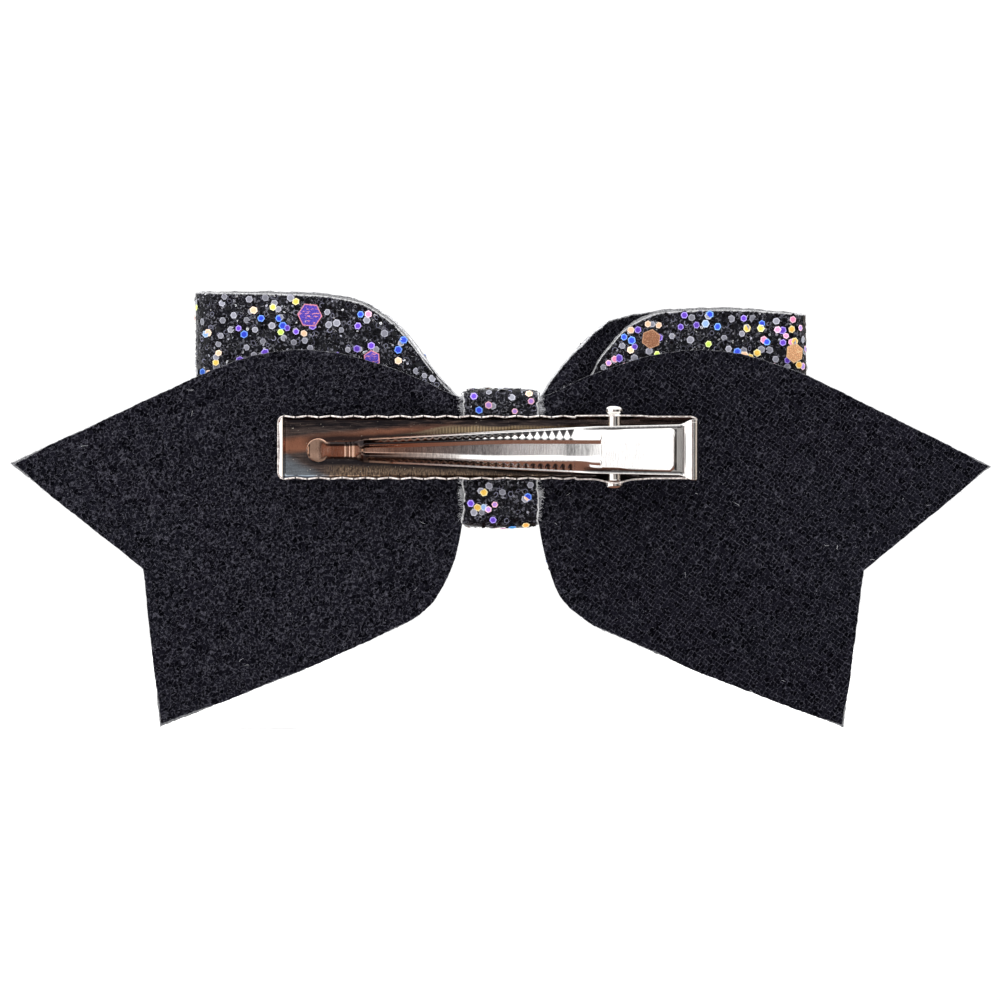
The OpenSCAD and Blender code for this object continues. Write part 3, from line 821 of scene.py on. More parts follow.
# name, number per square millimetre, radius range, face colour, rim colour (a painted edge highlight), metal,
# tilt in degrees, lift
FLAKES = [
    ("chip", 1.35, (0.30, 0.46), (0.0010, 0.0010, 0.002), (0.026, 0.026, 0.036), 0.25, 13, 0.02),
    ("spark", 0.62, (0.08, 0.24), (0.26, 0.26, 0.31), (0.40, 0.40, 0.46), 0.60, 28, 0.06),
    ("grey", 0.21, (0.42, 0.56), (0.21, 0.21, 0.25), (0.38, 0.38, 0.44), 0.10, 9, 0.10),
    ("blue", 0.045, (0.48, 0.60), (0.030, 0.060, 0.62), (0.20, 0.40, 1.0), 0.20, 7, 0.15),
    ("violet", 0.040, (0.44, 0.60), (0.13, 0.05, 0.50), (0.45, 0.36, 0.92), 0.20, 7, 0.15),
    ("gold", 0.026, (0.46, 0.60), (0.95, 0.58, 0.10), (1.0, 0.88, 0.50), 0.20, 7, 0.15),
    ("peach", 0.020, (0.46, 0.58), (0.92, 0.55, 0.35), (1.0, 0.80, 0.66), 0.15, 7, 0.15),
    ("pink", 0.022, (0.42, 0.56), (0.90, 0.28, 0.48), (1.0, 0.66, 0.78), 0.15, 7, 0.15),
    ("sky", 0.012, (0.46, 0.58), (0.30, 0.46, 0.82), (0.65, 0.78, 0.98), 0.15, 7, 0.15),
    ("lime", 0.004, (0.42, 0.52), (0.50, 0.70, 0.10), (0.75, 0.90, 0.40), 0.15, 7, 0.15),
    ("mauve", 0.018, (0.44, 0.56), (0.40, 0.22, 0.62), (0.95, 0.55, 0.60), 0.15, 7, 0.15),
]
# Clearance from the cut edges and narrowest width of the two small kinds and of the rest
SMALL_KINDS = {"spark": (0.15, 0.3), "chip": (0.3, 0.6)}
REST = (0.48, 0.9)
# Big holographic hexagons on the loops: place, radius, face colour, rim colour
BIG_HEXES = [
    ((25.4, -3.0, 19.1), 1.70, (0.10, 0.07, 0.50), (0.90, 0.35, 0.40)),
    ((17.4, -3.0, 13.3), 1.20, (0.10, 0.07, 0.50), (0.90, 0.35, 0.40)),
    ((-39.6, -3.0, 14.3), 1.40, (0.62, 0.36, 0.17), (0.75, 0.50, 0.28)),
    ((-20.2, -3.0, 15.9), 1.35, (0.40, 0.18, 0.10), (0.70, 0.40, 0.25)),
]


def sample_grid(grid, normals, count, rng, margin=0.25, closed=False):
    """Random points of a grid with their normals, clear of its cut edges, and the grid's area."""
    if closed:
        grid, normals = (np.concatenate([a, a[:1]]) for a in (grid, normals))
    du = grid[1:, :-1] - grid[:-1, :-1]
    dv = grid[:-1, 1:] - grid[:-1, :-1]
    area = np.linalg.norm(np.cross(du, dv), axis=2)
    pick = rng.choice(area.size, size=count, p=(area / area.sum()).ravel())
    i, j = np.unravel_index(pick, area.shape)
    s, t = rng.random(count)[:, None], rng.random(count)[:, None]

    def at(a):
        near, far = (a[i, k] * (1 - s) + a[i + 1, k] * s for k in (j, j + 1))
        return near * (1 - t) + far * t

    keep = at(edge_distance(grid, closed)[..., None])[:, 0] > margin
    return at(grid)[keep], unit(at(normals))[keep], area.sum()


def spaced(points, gap):
    """Indices of points that keep at least gap from each other, first come first served."""
    cells, kept = {}, []
    steps = [(a, b, c) for a in (-1, 0, 1) for b in (-1, 0, 1) for c in (-1, 0, 1)]
    for k, key in enumerate(np.floor(points / gap).astype(int)):
        near = [m for step in steps for m in cells.get(tuple(key + step), ())]
        if all(np.sum((points[m] - points[k]) ** 2) >= gap * gap for m in near):
            cells.setdefault(tuple(key), []).append(k)
            kept.append(k)
    return np.array(kept, int)


def hexagons(p, n, radius, tilt_deg, rng, narrow):
    """Thin closed hexagonal flakes: six rim points and a point above and below the middle."""
    count = len(p)
    tip = unit(n + np.tan(np.radians(tilt_deg)) * rng.normal(0, 0.6, (count, 3)))
    side = unit(np.cross(tip, rng.normal(0, 1, (count, 3))))
    slim = rng.uniform(narrow, 1.0, (count, 1, 1))
    a = np.radians(60 * np.arange(6))[None, :, None]
    rim = np.cos(a) * side[:, None] + slim * np.sin(a) * np.cross(tip, side)[:, None]
    rim = p[:, None] + radius[:, None, None] * rim
    middle = np.stack([p + tip * FLAKE_T, p - tip * FLAKE_T], 1)
    fans = [[[k, (k + 1) % 6, 6], [(k + 1) % 6, k, 7]] for k in range(6)]
    faces = np.arange(count)[:, None, None] * FLAKE_POINTS + np.reshape(fans, (1, -1, 3))
    return np.concatenate([rim, middle], 1).reshape(-1, 3), faces.reshape(-1, 3)


def flakes(name, grid, out, closed, seed, keep_clear, big=(), grey_share=1.0):
    """Loose glitter on one skin of a sheet: every kind of flake, thinned to keep clear of its neighbours."""
    rng = np.random.default_rng(seed)
    normals = grid_normals(grid, closed) * out
    skin = BOND + LAYER_T
    batches = []

    def per_vertex(rgb, shade):
        rgba = np.c_[np.clip(np.array(rgb) * shade, 0, 1), np.ones(len(shade))]
        return np.repeat(rgba, FLAKE_POINTS, 0)

    def add(p, n, radius, tilt, face_rgb, rim_rgb, metallic, holo, narrow):
        if not len(p):
            return
        verts, faces = hexagons(p, n, radius, tilt, rng, narrow)
        middle = np.minimum(1 - radius / PLAIN_R, 0.0)[:, None]
        shade = rng.uniform(0.7, 1.3, (len(p), 1))
        # brightness of the rim's painted edge highlight: bright on a few of the small flakes
        lit = shade if radius.max() > 0.47 else 0.3 + 9 * rng.random((len(p), 1)) ** 5
        values = {
            "rim": np.concatenate([np.ones((len(p), 6)), middle, middle], 1).ravel(),
            "metal": np.full(len(verts), metallic),
            "holo": np.full(len(verts), holo),
            "flake_colour": per_vertex(face_rgb, shade),
            "rim_colour": per_vertex(rim_rgb, lit),
        }
        batches.append((verts, faces + sum(len(b[0]) for b in batches), values))

    for kind, density, (r0, r1), face_rgb, rim_rgb, metallic, tilt, lift in FLAKES:
        margin, narrow = SMALL_KINDS.get(kind, REST)
        area = sample_grid(grid, normals, 1, rng, closed=closed)[2]
        spare = 1.0 if kind in SMALL_KINDS else 1.15
        count = int(area * density * spare * (grey_share if kind == "grey" else 1.0))
        p, n, _ = sample_grid(grid, normals, count, rng, margin, closed)
        if kind not in SMALL_KINDS:
            kept = spaced(p, 2 * r1 * 0.8)
            p, n = p[kept], n[kept]
        free = keep_clear(p, r1)
        p, n = p[free], n[free]
        radius = rng.uniform(r0, r1, len(p))
        height = skin + lift + rng.uniform(0, 0.035, len(p))
        add(p + n * height[:, None], n, radius, tilt, face_rgb, rim_rgb, metallic, 0.0, narrow)
    for near, radius, face_rgb, rim_rgb in big:
        d = np.linalg.norm(grid + normals * skin - near, axis=2)
        i, j = np.unravel_index(np.argmin(d), d.shape)
        n = normals[i, j][None]
        add(grid[i, j] + n * (skin + 0.2), n, np.array([radius]), 2, face_rgb, rim_rgb, 0.45, 1.0, 1.0)
    verts, faces, values = zip(*batches)
    values = {key: np.concatenate([v[key] for v in values]) for key in values[0]}
    verts, faces = np.concatenate(verts), np.concatenate(faces).tolist()
    settle(make_object(name, verts, faces, [FLAKE], sharp_deg=20, values=values))


def clear_of_clip(p, r):
    return (p[:, 1] < BAND_HI[1] - 1.2) | (p[:, 2] < BASE_LO[2] - r) | (p[:, 2] > BASE_HI[2] + r)


def clear_of_band(p, r):
    return np.abs(p[:, 0]) > NECK_X + 0.3 + r


flakes("tails_flakes", TAIL_FACE, -TAIL_OUT, False, 31, clear_of_band)
flakes("loops_flakes", LOOP_GRID, LOOP_OUT, True, 32, clear_of_band, BIG_HEXES)
flakes("band_flakes", BAND_GRID, BAND_OUT, True, 33, clear_of_clip, grey_share=0.5)

# ---------------------------------------------------------------- clip base
RIM_HW = (BASE_HI[2] - BASE_LO[2]) / 2
STATION, EAR_STATION, FACET_EDGE, CLOSEST = 0.13, 0.07, 0.03, 0.012
# A station's points: shares of the way to the wall's foot, then of the way up the wall
BASE_SIDE = (0.0, 0.3, 0.6, 0.8, 0.92, 1.0)
BASE_CLIMB = (0.03, 0.10, 0.22, 0.45, 0.7, 0.9, 1.0)
FOOT_W, EAR_BULGE, RIM_R = 0.42, 0.55, 0.10


def zigzag(x, pitch):
    """Flat-sided wave from 0 to 1 and back."""
    return 1 - np.abs(((x / pitch) % 1.0) * 2 - 1)


def at_pin(x, width=1.7):
    """A soft hump, 1 at the pin and 0 a few widths away."""
    return math.exp(-(((x - PIN[0]) / width) ** 2))


def wall_top(x):
    """Height of the tray's side walls along its length: low at the heel, with an ear at the pin."""
    d = abs(x - PIN[0])
    if d < EAR_HALF:
        ear = PIN[1] + math.sqrt(EAR_R**2 - d**2)
    else:
        ear = np.interp(d, [EAR_HALF, EAR_FOOT], [PIN[1] + 0.75, WALL_H], right=0)
    return max(HEEL_WALL_H + (WALL_H - HEEL_WALL_H) * smooth(PIN[0] - 5.4, PIN[0] - 3.2, x), ear)


def base_grid():
    """Inner skin of the tray: stations along X, each a line from the lower rim to the upper."""
    x0, x1 = BASE_LO[0], BASE_HI[0] - METAL_T
    wall_x = x1 - END_BAND
    turns = BASE_HI[0] - SCALLOP_START - SCALLOP / 2 * np.arange(24)
    facets = np.concatenate([turns - FACET_EDGE, turns + FACET_EDGE])
    facets = facets[(facets > x0) & (facets < wall_x - 0.4)]
    ear = np.arange(PIN[0] - 3.2, PIN[0] + 3.2, EAR_STATION)
    xs = np.unique(np.concatenate([np.arange(x0, wall_x - 0.4, STATION), facets, ear]))
    xs = xs[np.append(True, np.diff(xs) > CLOSEST)]
    # The closed end in X and floor height: the floor turns up into the end wall, then over its rounded top
    up = [(-0.3, 0.01), (-0.18, 0.05), (-0.08, 0.16), (-0.02, 0.4), (0, 0.9), (0.02, WALL_H - 0.25)]
    up += [(0.07, WALL_H - 0.06), (0.16, WALL_H)]
    over = [(0.42, 0.08), (0.26, 0.16), (0.12, 0.25), (0.04, 0.34), (0, 0.5)]
    ends = [(x, 0.0) for x in xs] + [(wall_x + x, y) for x, y in up] + [(x1 - x, WALL_H - y) for x, y in over]
    rows = []
    for x, base_y in ends:
        top = max(wall_top(x), base_y)
        scallop = SCALLOP_DEEP * zigzag(BASE_HI[0] - SCALLOP_START - x, SCALLOP) * (x > SCALLOPS_END)
        inset = min(max(x - (x1 - PLAN_CORNER), 0) / PLAN_CORNER, 0.97)
        heel = min(max(x0 + HEEL_CORNER - x, 0) / HEEL_CORNER, 0.97)
        rounding = PLAN_CORNER * (1 - math.sqrt(1 - inset**2)) + HEEL_CORNER * (1 - math.sqrt(1 - heel**2))
        rim = RIM_HW - METAL_T - scallop - rounding
        flat = rim + 0.8 * scallop - FOOT_W
        half = [(flat * k, base_y + DISH * k**2) for k in BASE_SIDE]
        for c in BASE_CLIMB:
            y = DISH + c * (top - DISH)
            share = 0.55 * min(c / 0.22, 1) ** 0.5 + 0.45 * min(y / WALL_H, 1)
            half.append((flat + (rim - flat) * share, max(base_y + DISH, y)))
        half = np.array(half)
        low = half[::-1] * [-1, 1]
        low[:, 0] -= EAR_BULGE * at_pin(x) * smooth(0.9, 3.2, low[:, 1])
        z, y = np.concatenate([low, half[1:]]).T
        rows.append(np.stack([np.full(len(z), x), y, z + CLIP_Z], 1))
    return np.array(rows)


def pressed_sheet(name, grid, row, thickness, inner, sharp_deg, values=None):
    """A stamped part: the grid is its upper skin, and row is one whose middle lies flat."""
    lift = -outward(grid, row) * thickness
    return sheet(name, grid, 0.0, lift, [inner, NICKEL_SHELL, EDGE], sharp_deg=sharp_deg, values=values)


def drill(obj, radius):
    """Cuts the pin's hole through a piece."""
    at = (PIN[0] * MM, PIN[1] * MM, CLIP_Z * MM)
    bpy.ops.mesh.primitive_cylinder_add(vertices=48, radius=radius * MM, depth=14 * MM, location=at)
    tool = bpy.context.object
    cut = obj.modifiers.new("pin_hole", "BOOLEAN")
    cut.operation, cut.object, cut.solver = "DIFFERENCE", tool, "MANIFOLD"
    bpy.context.view_layer.update()
    mesh = bpy.data.meshes.new_from_object(obj.evaluated_get(bpy.context.evaluated_depsgraph_get()))
    obj.modifiers.clear()
    obj.data = mesh
    bpy.data.objects.remove(tool)


def rim_path():
    """Middle of the tray's sheared rim: across the heel, along one side, round the closed end and back."""
    out = METAL_T / 2
    straight = BASE_GRID[:, 0, 0] < BASE_HI[0] - METAL_T - PLAN_CORNER
    low = BASE_GRID[straight, 0] - [0, 0, out]
    high = BASE_GRID[straight, -1] + [0, 0, out]
    heel = BASE_GRID[0, ::-1] - [0.06, 0, 0]
    a = np.radians(np.linspace(0, 90, 9))[1:]
    y = WALL_H - 0.3 * a / (math.pi / 2)
    x = BASE_HI[0] - out - PLAN_CORNER * (1 - np.sin(a))
    into = PLAN_CORNER * (1 - np.cos(a))
    corner_high = np.stack([x, y, high[-1, 2] - into], 1)
    corner_low = np.stack([x, y, low[-1, 2] + into], 1)
    return np.concatenate([heel, low, corner_low, corner_high[::-1], high[::-1]])


HEAD_R = (PIN_HI[0] - PIN_LO[0]) / 2
BASE_GRID = base_grid()
clip_tray = pressed_sheet("clip_tray", BASE_GRID, 60, METAL_T, NICKEL_TRAY, 24)
drill(clip_tray, HEAD_R - 0.30)
settle(clip_tray, "clip_base")
rim_bead = make_object("clip_tray_rim", *tubes([rim_path()], [RIM_R], 8), [RIM], sharp_deg=60)
settle(rim_bead)

# ---------------------------------------------------------------- lever
LEV_Z, LEVER_T = CLIP_Z - 0.35, 0.2
TIP_X, HEEL_X = LEV_HI[0], LEV_LO[0]
SPOON_R, NECK_HW = 1.57, 1.1
CHANNEL_FROM, CHANNEL_TO = TIP_X - 7.3, PIN[0] + 1.75
FLUTES_FROM, FLUTES_TO = CHANNEL_FROM - 1.2, PIN[0] + 5.35
PAD_END, GROOVE_END = HEEL_X + 3.2, HEEL_X + 2.0
PAD_CORNER, PAD_EDGE, PAD_CROWN, LEDGE = 1.3, 0.6, 0.22, 0.38
CROSS_RIDGES = (TIP_X - 5.32, TIP_X - 5.95, TIP_X - 6.40)
FLUTE, FLUTE_DEEP, FLANK_DROP, SINK = 1.0, 0.30, 1.3, 0.42
SKIRT, PAD_SKIRT, FLAP = 0.06, 1.0, 1.9
# Points of the half section: shares of the flank, then how many points it and the section with its skirt have
FLANK_T = np.array([0.08, 0.20, 0.32, 0.44, 0.56, 0.68, 0.80, 0.91, 1.0])
HALF_COUNT, SKIRT_DOWN = 22, (0.25, 0.6, 1.0)
TONE_COUNT = HALF_COUNT + len(SKIRT_DOWN)
back_line = curve_through(
    [HEEL_X + 1.5, HEEL_X + 3.3, HEEL_X + 5.2, HEEL_X + 8.7, PIN[0] + 1.0, PIN[0] + 2.6, PIN[0] + 5.4,
     TIP_X - 28, TIP_X - 20, TIP_X - 12, TIP_X - 4.1, TIP_X - 2.6, TIP_X - 0.55, TIP_X],
    [8.98, 8.56, 8.12, 7.32, 6.53, 6.18, 5.54, 4.12, 2.84, 1.68, 0.64, 0.54, 0.55, 0.67],
)
lip_line = curve_through(
    HEEL_X + np.array([0, 0.12, 0.45, 0.8, 1.1, 1.9, 2.02, 3.3]),
    [7.35, 7.9, 8.60, 8.74, 8.70, 8.30, 8.14, 8.10],
)
trough_crest = curve_through([-14.0, -2.6, 8.1, 18.5], [1.30, 1.34, 1.03, 0.70])


def blend(a, b, share):
    return a * (1 - share) + b * share


def lever_outline(x):
    """Half width of the lever's plan at x, and how far the section there is folded and not a plain strip."""
    spoon = math.sqrt(max(SPOON_R**2 - (x - (TIP_X - SPOON_R)) ** 2, 0.0)) if x > TIP_X - 2 * SPOON_R else 0.0
    neck = NECK_HW + 0.15 * smooth(TIP_X - 5.2, TIP_X - 7.4, x) if x < TIP_X - 2.2 else 0.0
    folded = smooth(CHANNEL_FROM + 0.7, CHANNEL_FROM - 0.5, x)
    flange = min(2.52 - 0.05 * x, 3.2 + 0.02 * (PIN[0] - x))
    flare = 0.62 * smooth(PAD_END - 0.4, HEEL_X + 0.9, x)
    return max(blend(max(spoon, neck), flange + flare, folded), 0.12), folded


def folded_half(x, outer):
    """Half section of the folded length: trough floor, inner slope, ridge, fluted flank and flange."""
    y = back_line(x)
    mouth = math.sqrt(smooth(CHANNEL_FROM + 0.05, CHANNEL_FROM - 0.7, x))
    crest = max(trough_crest(x) * mouth, 0.14)
    slope = min(0.55, 0.6 * crest)
    sink = SINK * mouth * smooth(CHANNEL_TO - 0.04, CHANNEL_TO + 0.10, x)
    half = [((crest - slope) * k, y - sink) for k in (0, 0.4, 0.75, 1.0)]
    half += [(crest - slope * k, y - sink * h) for k, h in ((0.8, 0.88), (0.4, 0.42), (0.08, 0.06))]
    ridge = min(crest + 0.20, outer - 0.45)
    half += [(blend(crest, ridge, k), y - 0.03 * k * k) for k in (0.1, 0.55, 1.0)]
    foot = outer - 0.26
    grown = smooth(CHANNEL_FROM + 1.0, CHANNEL_FROM - 4.5, x)
    drop = blend(0.25, FLANK_DROP, grown)
    fluted = smooth(FLUTES_FROM + 1.0, FLUTES_FROM - 2, x) * (x > FLUTES_TO) * grown
    cusp = 1 - abs(math.cos(math.pi * (x - FLUTES_TO) / FLUTE))
    for t in FLANK_T:
        groove = FLUTE_DEEP * min(cusp * (0.25 + 2.6 * t), 1.0) * math.sin(math.pi * t**1.4)
        bulge = 0.16 * math.sin(math.pi * t)
        half.append((blend(ridge, foot, t), y - 0.03 - drop * t + (bulge - groove) * fluted))
    level = y - 0.05 - drop
    return np.array(half + [(foot + 0.05, level), (outer - 0.03, level), (outer, level - 0.03)]), level


def plain_half(x, outer):
    """Half section of the spoon and neck: a flat strip with turned-down edges and three cross ridges."""
    k = np.linspace(0, 1, HALF_COUNT) ** 0.85
    dimple = 0.14 * smooth(TIP_X - 3.4, TIP_X - 1.6, x) * smooth(TIP_X, TIP_X - 0.5, x) * (1 - k**2)
    ridges = sum(0.13 * math.exp(-(((x - at) / 0.08) ** 2)) for at in CROSS_RIDGES) * smooth(1.0, 0.8, k)
    return np.stack([outer * k, back_line(x) - 0.10 * k**6 - dimple + ridges], 1)


def pad_half(x, outer):
    """Half section of the thumb pad: a pillow, a groove and a lip towards the heel, and a ledge outside."""
    pillow = outer - LEDGE
    back, lip_y = back_line(x), lip_line(x)
    z = np.concatenate([np.linspace(0, 0.72, 8), np.linspace(0.78, 1.0, HALF_COUNT - 8 - 3)]) * pillow
    edge = PAD_EDGE - 0.27 * smooth(PIN[0] - 0.2, PIN[0] - 2.6, x)
    off = np.clip(z - (pillow - edge), 0, edge * 0.999)
    y = back - PAD_CROWN * (z / pillow) ** 2 - (edge - np.sqrt(edge**2 - off**2))
    over = np.clip(z - (pillow - PAD_CORNER), 0, PAD_CORNER * 0.98)
    end = PAD_END + PAD_CORNER - np.sqrt(PAD_CORNER**2 - over**2)
    y = blend(np.minimum(y, lip_y), y, smooth(end - 0.14, end + 0.16, x))
    lip = smooth(GROOVE_END + 0.03, GROOVE_END - 0.03, x)
    ledge_y = blend(back - PAD_CROWN - PAD_EDGE - 0.05, lip_y - 0.12, lip)
    z = np.concatenate([z, [pillow + 0.04, outer - 0.03, outer]])
    y = np.concatenate([blend(y, lip_y, lip), [ledge_y, ledge_y, ledge_y - 0.03]])
    return np.stack([z, y], 1), ledge_y


def folded_painted_shade(x, upper):
    """Painted light and shade of the folded length's half section: painted reflections along the trough,
    darker in patches, and on the upper side flutes painted bright as lit teeth between shaded grooves.
    """
    tone = np.ones(TONE_COUNT)
    trough_x = [-13.5, -11, -9.4, -7.4, -4.0, 2.0, 8.0, 18.0]
    tone[:4] = np.interp(x, trough_x, [0.85, 0.62, 0.58, 1.0, 0.95, 0.62, 0.5, 0.8])
    apart = 2 * abs(((x - FLUTES_TO) / FLUTE + 0.5) % 1.0 - 0.5)
    if upper:
        grown = smooth(13, -7, x)
        reach = 0.82 + 0.22 * grown - 0.95 * apart
        foot = 0.20 - 0.18 * grown + (0.22 - 0.1 * grown) * apart**2
        down = np.concatenate([[0, 0, 0], FLANK_T])
        lit_tooth = smooth(reach + 0.08, reach - 0.08, down) * smooth(foot - 0.12, foot, down)
        tone[7:19] = 0.03 + (0.97 - 0.5 * smooth(8, 17, x)) * lit_tooth if x > FLUTES_TO else 1.0
    else:
        # lower side: painted shade on the inner slope and in the gaps between flutes
        tone[4:10] = np.interp(x, [3, 9, 16], [1, 0.45, 0.12])
        gap = smooth(0.5, 0.85, apart) * smooth(0.15, 0.5, FLANK_T) * (x > FLUTES_TO)
        tone[10:19] = np.interp(x, [0, 8], [1, 0.45]) * (1 - 0.88 * gap)
    tone[19:22] = np.interp(x, [8, 18], [1, 0.7])
    # painted shade where the channel starts
    if abs(x - CHANNEL_FROM) < 1.1:
        tone[4:] *= 0.35
    return tone


def pad_painted_shade(x, upper):
    """Painted shade across the thumb pad's half section: dark at the pillow's foot and in the groove before
    the lip.
    """
    tone = np.ones(TONE_COUNT)
    tone[17:20] = [0.5, 0.05, 0.05]
    if not upper:
        tone[11:17] = 1 - np.array([0.1, 0.3, 0.5, 0.62, 0.7, 0.7]) * smooth(-24, -14, x)
    # painted shade at the pad's end
    if abs(x - PAD_END + 0.02) < 0.14:
        tone[:15] = 0.25
    return blend(tone, 1, smooth(GROOVE_END + 0.4, GROOVE_END + 0.1, x))


def lever_painted_shade(x, folded, pad, upper):
    """Painted light and shade across one half section, from its middle to the skirt: 1 plain plate, 0 painted
    black.
    """
    k = np.concatenate([np.linspace(0, 1, HALF_COUNT) ** 0.85, [1, 1, 1]])
    # painted shade on the plain strip's turned-down edges
    strip = 1 - 0.96 * smooth(0.40, 0.6, k) if upper else 1 - 0.9 * smooth(0.72, 0.85, k)
    strip = blend(strip, 1, smooth(TIP_X - 3.3, TIP_X - 2.2, x))
    share = np.where(np.arange(TONE_COUNT) < 12, x < CHANNEL_TO, pad)
    return blend(blend(strip, folded_painted_shade(x, upper), folded), pad_painted_shade(x, upper), share)


def lever_stations():
    xs = np.concatenate([
        np.arange(HEEL_X, FLUTES_TO - 0.4, 0.1),
        np.arange(FLUTES_TO - 0.4, CHANNEL_FROM + 1.2, 0.083),
        np.arange(CHANNEL_FROM + 1.2, TIP_X - 0.6, 0.055),
        TIP_X - SPOON_R + SPOON_R * np.cos(np.linspace(0.9, 0.02, 14)),
        GROOVE_END + np.array([-0.03, 0.0, 0.03]),
        CHANNEL_TO + np.array([-0.04, 0.03, 0.1]),
    ])
    return np.unique(np.round(xs, 4))


def lever_grid():
    """Upper skin of the lever, heel to tip, each station a line from skirt to skirt, and its painted shade.
    """
    rows, tones = [], []
    point = np.arange(HALF_COUNT)
    for x in lever_stations():
        outer, folded = lever_outline(x)
        half_f, level = folded_half(x, max(outer, 0.9))
        half = blend(plain_half(x, outer), half_f, folded)
        edge_y = blend(back_line(x) - 0.1, level, folded)
        pad = smooth(FLUTES_TO + 0.05, FLUTES_TO - 3.2, x)
        skirt = SKIRT
        if pad > 0:
            half_p, ledge_y = pad_half(x, outer)
            inner = smooth(CHANNEL_TO + 0.12, CHANNEL_TO - 0.02, x)
            share = np.where(point < 10, inner, np.where(point < 12, 0.5 * (inner + pad), pad))
            half = blend(half, half_p, share[:, None])
            edge_y = blend(edge_y, ledge_y, pad)
            skirt += pad * (PAD_SKIRT - 0.5 * smooth(PAD_END + 2, HEEL_X + 0.5, x) + FLAP * at_pin(x))
        down = [(outer + 0.02, edge_y - 0.03 - skirt * k) for k in SKIRT_DOWN]
        half = np.concatenate([half, down])
        z, y = np.concatenate([half[::-1] * [-1, 1], half[1:]]).T
        rows.append(np.stack([np.full(len(z), x), y, z + LEV_Z], 1))
        low, high = (lever_painted_shade(x, folded, pad, upper) for upper in (False, True))
        tones.append(np.concatenate([low[::-1], high[1:]]))
    return np.array(rows), np.array(tones)


LEVER_GRID, LEVER_PAINTED_SHADE = lever_grid()
# the tone attribute holds the lever's painted light and shade
lever = pressed_sheet("lever_pressing", LEVER_GRID, 200, LEVER_T, NICKEL_LEVER, 32, {"tone": LEVER_PAINTED_SHADE})
settle(lever, "clip_lever", "lever")

# ---------------------------------------------------------------- pin and spring
def turned(name, profile, at, mat, sides=64):
    """A turned part about the Z axis: profile is (radius, z) from end to end, closed at both ends."""
    a = np.linspace(0, 2 * math.pi, sides, endpoint=False)
    rings = [np.stack([r * np.cos(a), r * np.sin(a), np.full(sides, z)], 1) for r, z in profile]
    return make_object(name, np.concatenate(rings) + at, tube_faces(len(rings), sides), [mat], sharp_deg=35)


PIN_HALF, SHAFT_R = (PIN_HI[2] - PIN_LO[2]) / 2, HEAD_R - 0.35
# One end of the pin, as steps in from the head's radius and down from its top
HEAD_STEPS = [
    (0.62, 0.03), (0.34, 0.10), (0.12, 0.25), (0.02, 0.45), (0, 0.62), (0.05, 0.85), (0.16, 1.02),
    (0.30, 1.14),
]
head = [(0.2, PIN_HALF)] + [(HEAD_R - r, PIN_HALF - z) for r, z in HEAD_STEPS]
head += [(SHAFT_R + 0.02, PIN_HALF - 1.2), (SHAFT_R, PIN_HALF - 1.3), (SHAFT_R, 2.0)]
both_ends = head + [(r, -z) for r, z in head[::-1]]
settle(turned("hinge_pin", both_ends, [PIN[0], PIN[1], CLIP_Z], NICKEL_PIN), "pivot_pin")

COIL_R, WIRE_R, COIL_TURNS, COIL_PITCH = 1.2, 0.22, 8, 0.4


def spring_path():
    """Middle of the wire: a leg on the tray's floor, the coil round the pin, a leg under the thumb pad."""
    end_z = COIL_PITCH * (COIL_TURNS - 1) / 2
    turns = COIL_TURNS - 1 + 0.5
    a = np.radians(np.linspace(-90, -90 + 360 * turns, int(40 * turns)))
    coil = np.stack([COIL_R * np.cos(a), COIL_R * np.sin(a), np.linspace(-end_z, end_z, len(a))], 1)
    floor_leg = bezier(
        (-7.8, -PIN[1] + WIRE_R + 0.08, -end_z), (-5, -PIN[1] + WIRE_R + 0.12, -end_z),
        (-2.4, -COIL_R - 0.02, -end_z), (-0.35, -COIL_R, -end_z), 26,
    )
    rise = back_line(PIN[0] - 7.6) - PIN[1] - 0.55
    pad_leg = bezier(
        (-0.35, COIL_R, end_z), (-2.2, COIL_R, end_z), (-4.6, rise - 0.5, end_z), (-7.6, rise, end_z), 26,
    )
    return resample(np.concatenate([floor_leg, coil[1:-1], pad_leg]), 520) + [PIN[0], PIN[1], CLIP_Z]


spring = make_object("spring_coil", *tubes([spring_path()], [WIRE_R], 10), [WIRE], sharp_deg=60)
settle(spring, "clip_spring", body=None)
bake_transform(spring)


# ---------------------------------------------------------------- glue
def glue_blob(name, node, seed, columns=72, rows=20):
    """A squeezed-out pad of glue: a rounded, uneven slab, with rings of points between its two poles."""
    lo, hi = box_mm(node)
    centre, half = (lo + hi) / 2, (hi - lo) / 2

    def rounded(wave, power):
        return np.sign(wave) * np.abs(wave) ** power

    u = np.linspace(0, 2 * math.pi, columns, endpoint=False)[None]
    v = np.linspace(-math.pi / 2, math.pi / 2, rows + 2)[1:-1, None]
    reach = rounded(np.cos(v), 0.45) * (1 - 0.05 * (1 + wobble(u * 3, seed) / 2))
    x = half[0] * rounded(np.cos(u), 0.55) * reach
    z = half[2] * rounded(np.sin(u), 0.55) * reach
    y = 0.98 * half[1] * rounded(np.sin(v), 0.6) * np.ones_like(u)
    pole = [[0, 0.98 * half[1], 0]]
    verts = np.concatenate([np.negative(pole), np.stack([x, y, z], -1).reshape(-1, 3), pole]) + centre
    ring = 1 + np.arange(rows * columns).reshape(rows, columns)
    after = np.roll(ring, -1, 1)
    faces = np.stack([ring[:-1], after[:-1], after[1:], ring[1:]], -1).reshape(-1, 4).tolist()
    faces += [[0, b, a] for a, b in zip(ring[0].tolist(), after[0].tolist())]
    faces += [[a, b, len(verts) - 1] for a, b in zip(ring[-1].tolist(), after[-1].tolist())]
    settle(make_object(name, verts, faces, [GLUE], sharp_deg=0), node)


glue_blob("glue_seam_blob", "glue_loop_seam", 51)
glue_blob("glue_loops_blob", "glue_loops_to_tails", 52)
glue_blob("glue_clip_blob", "glue_clip_to_band", 53)


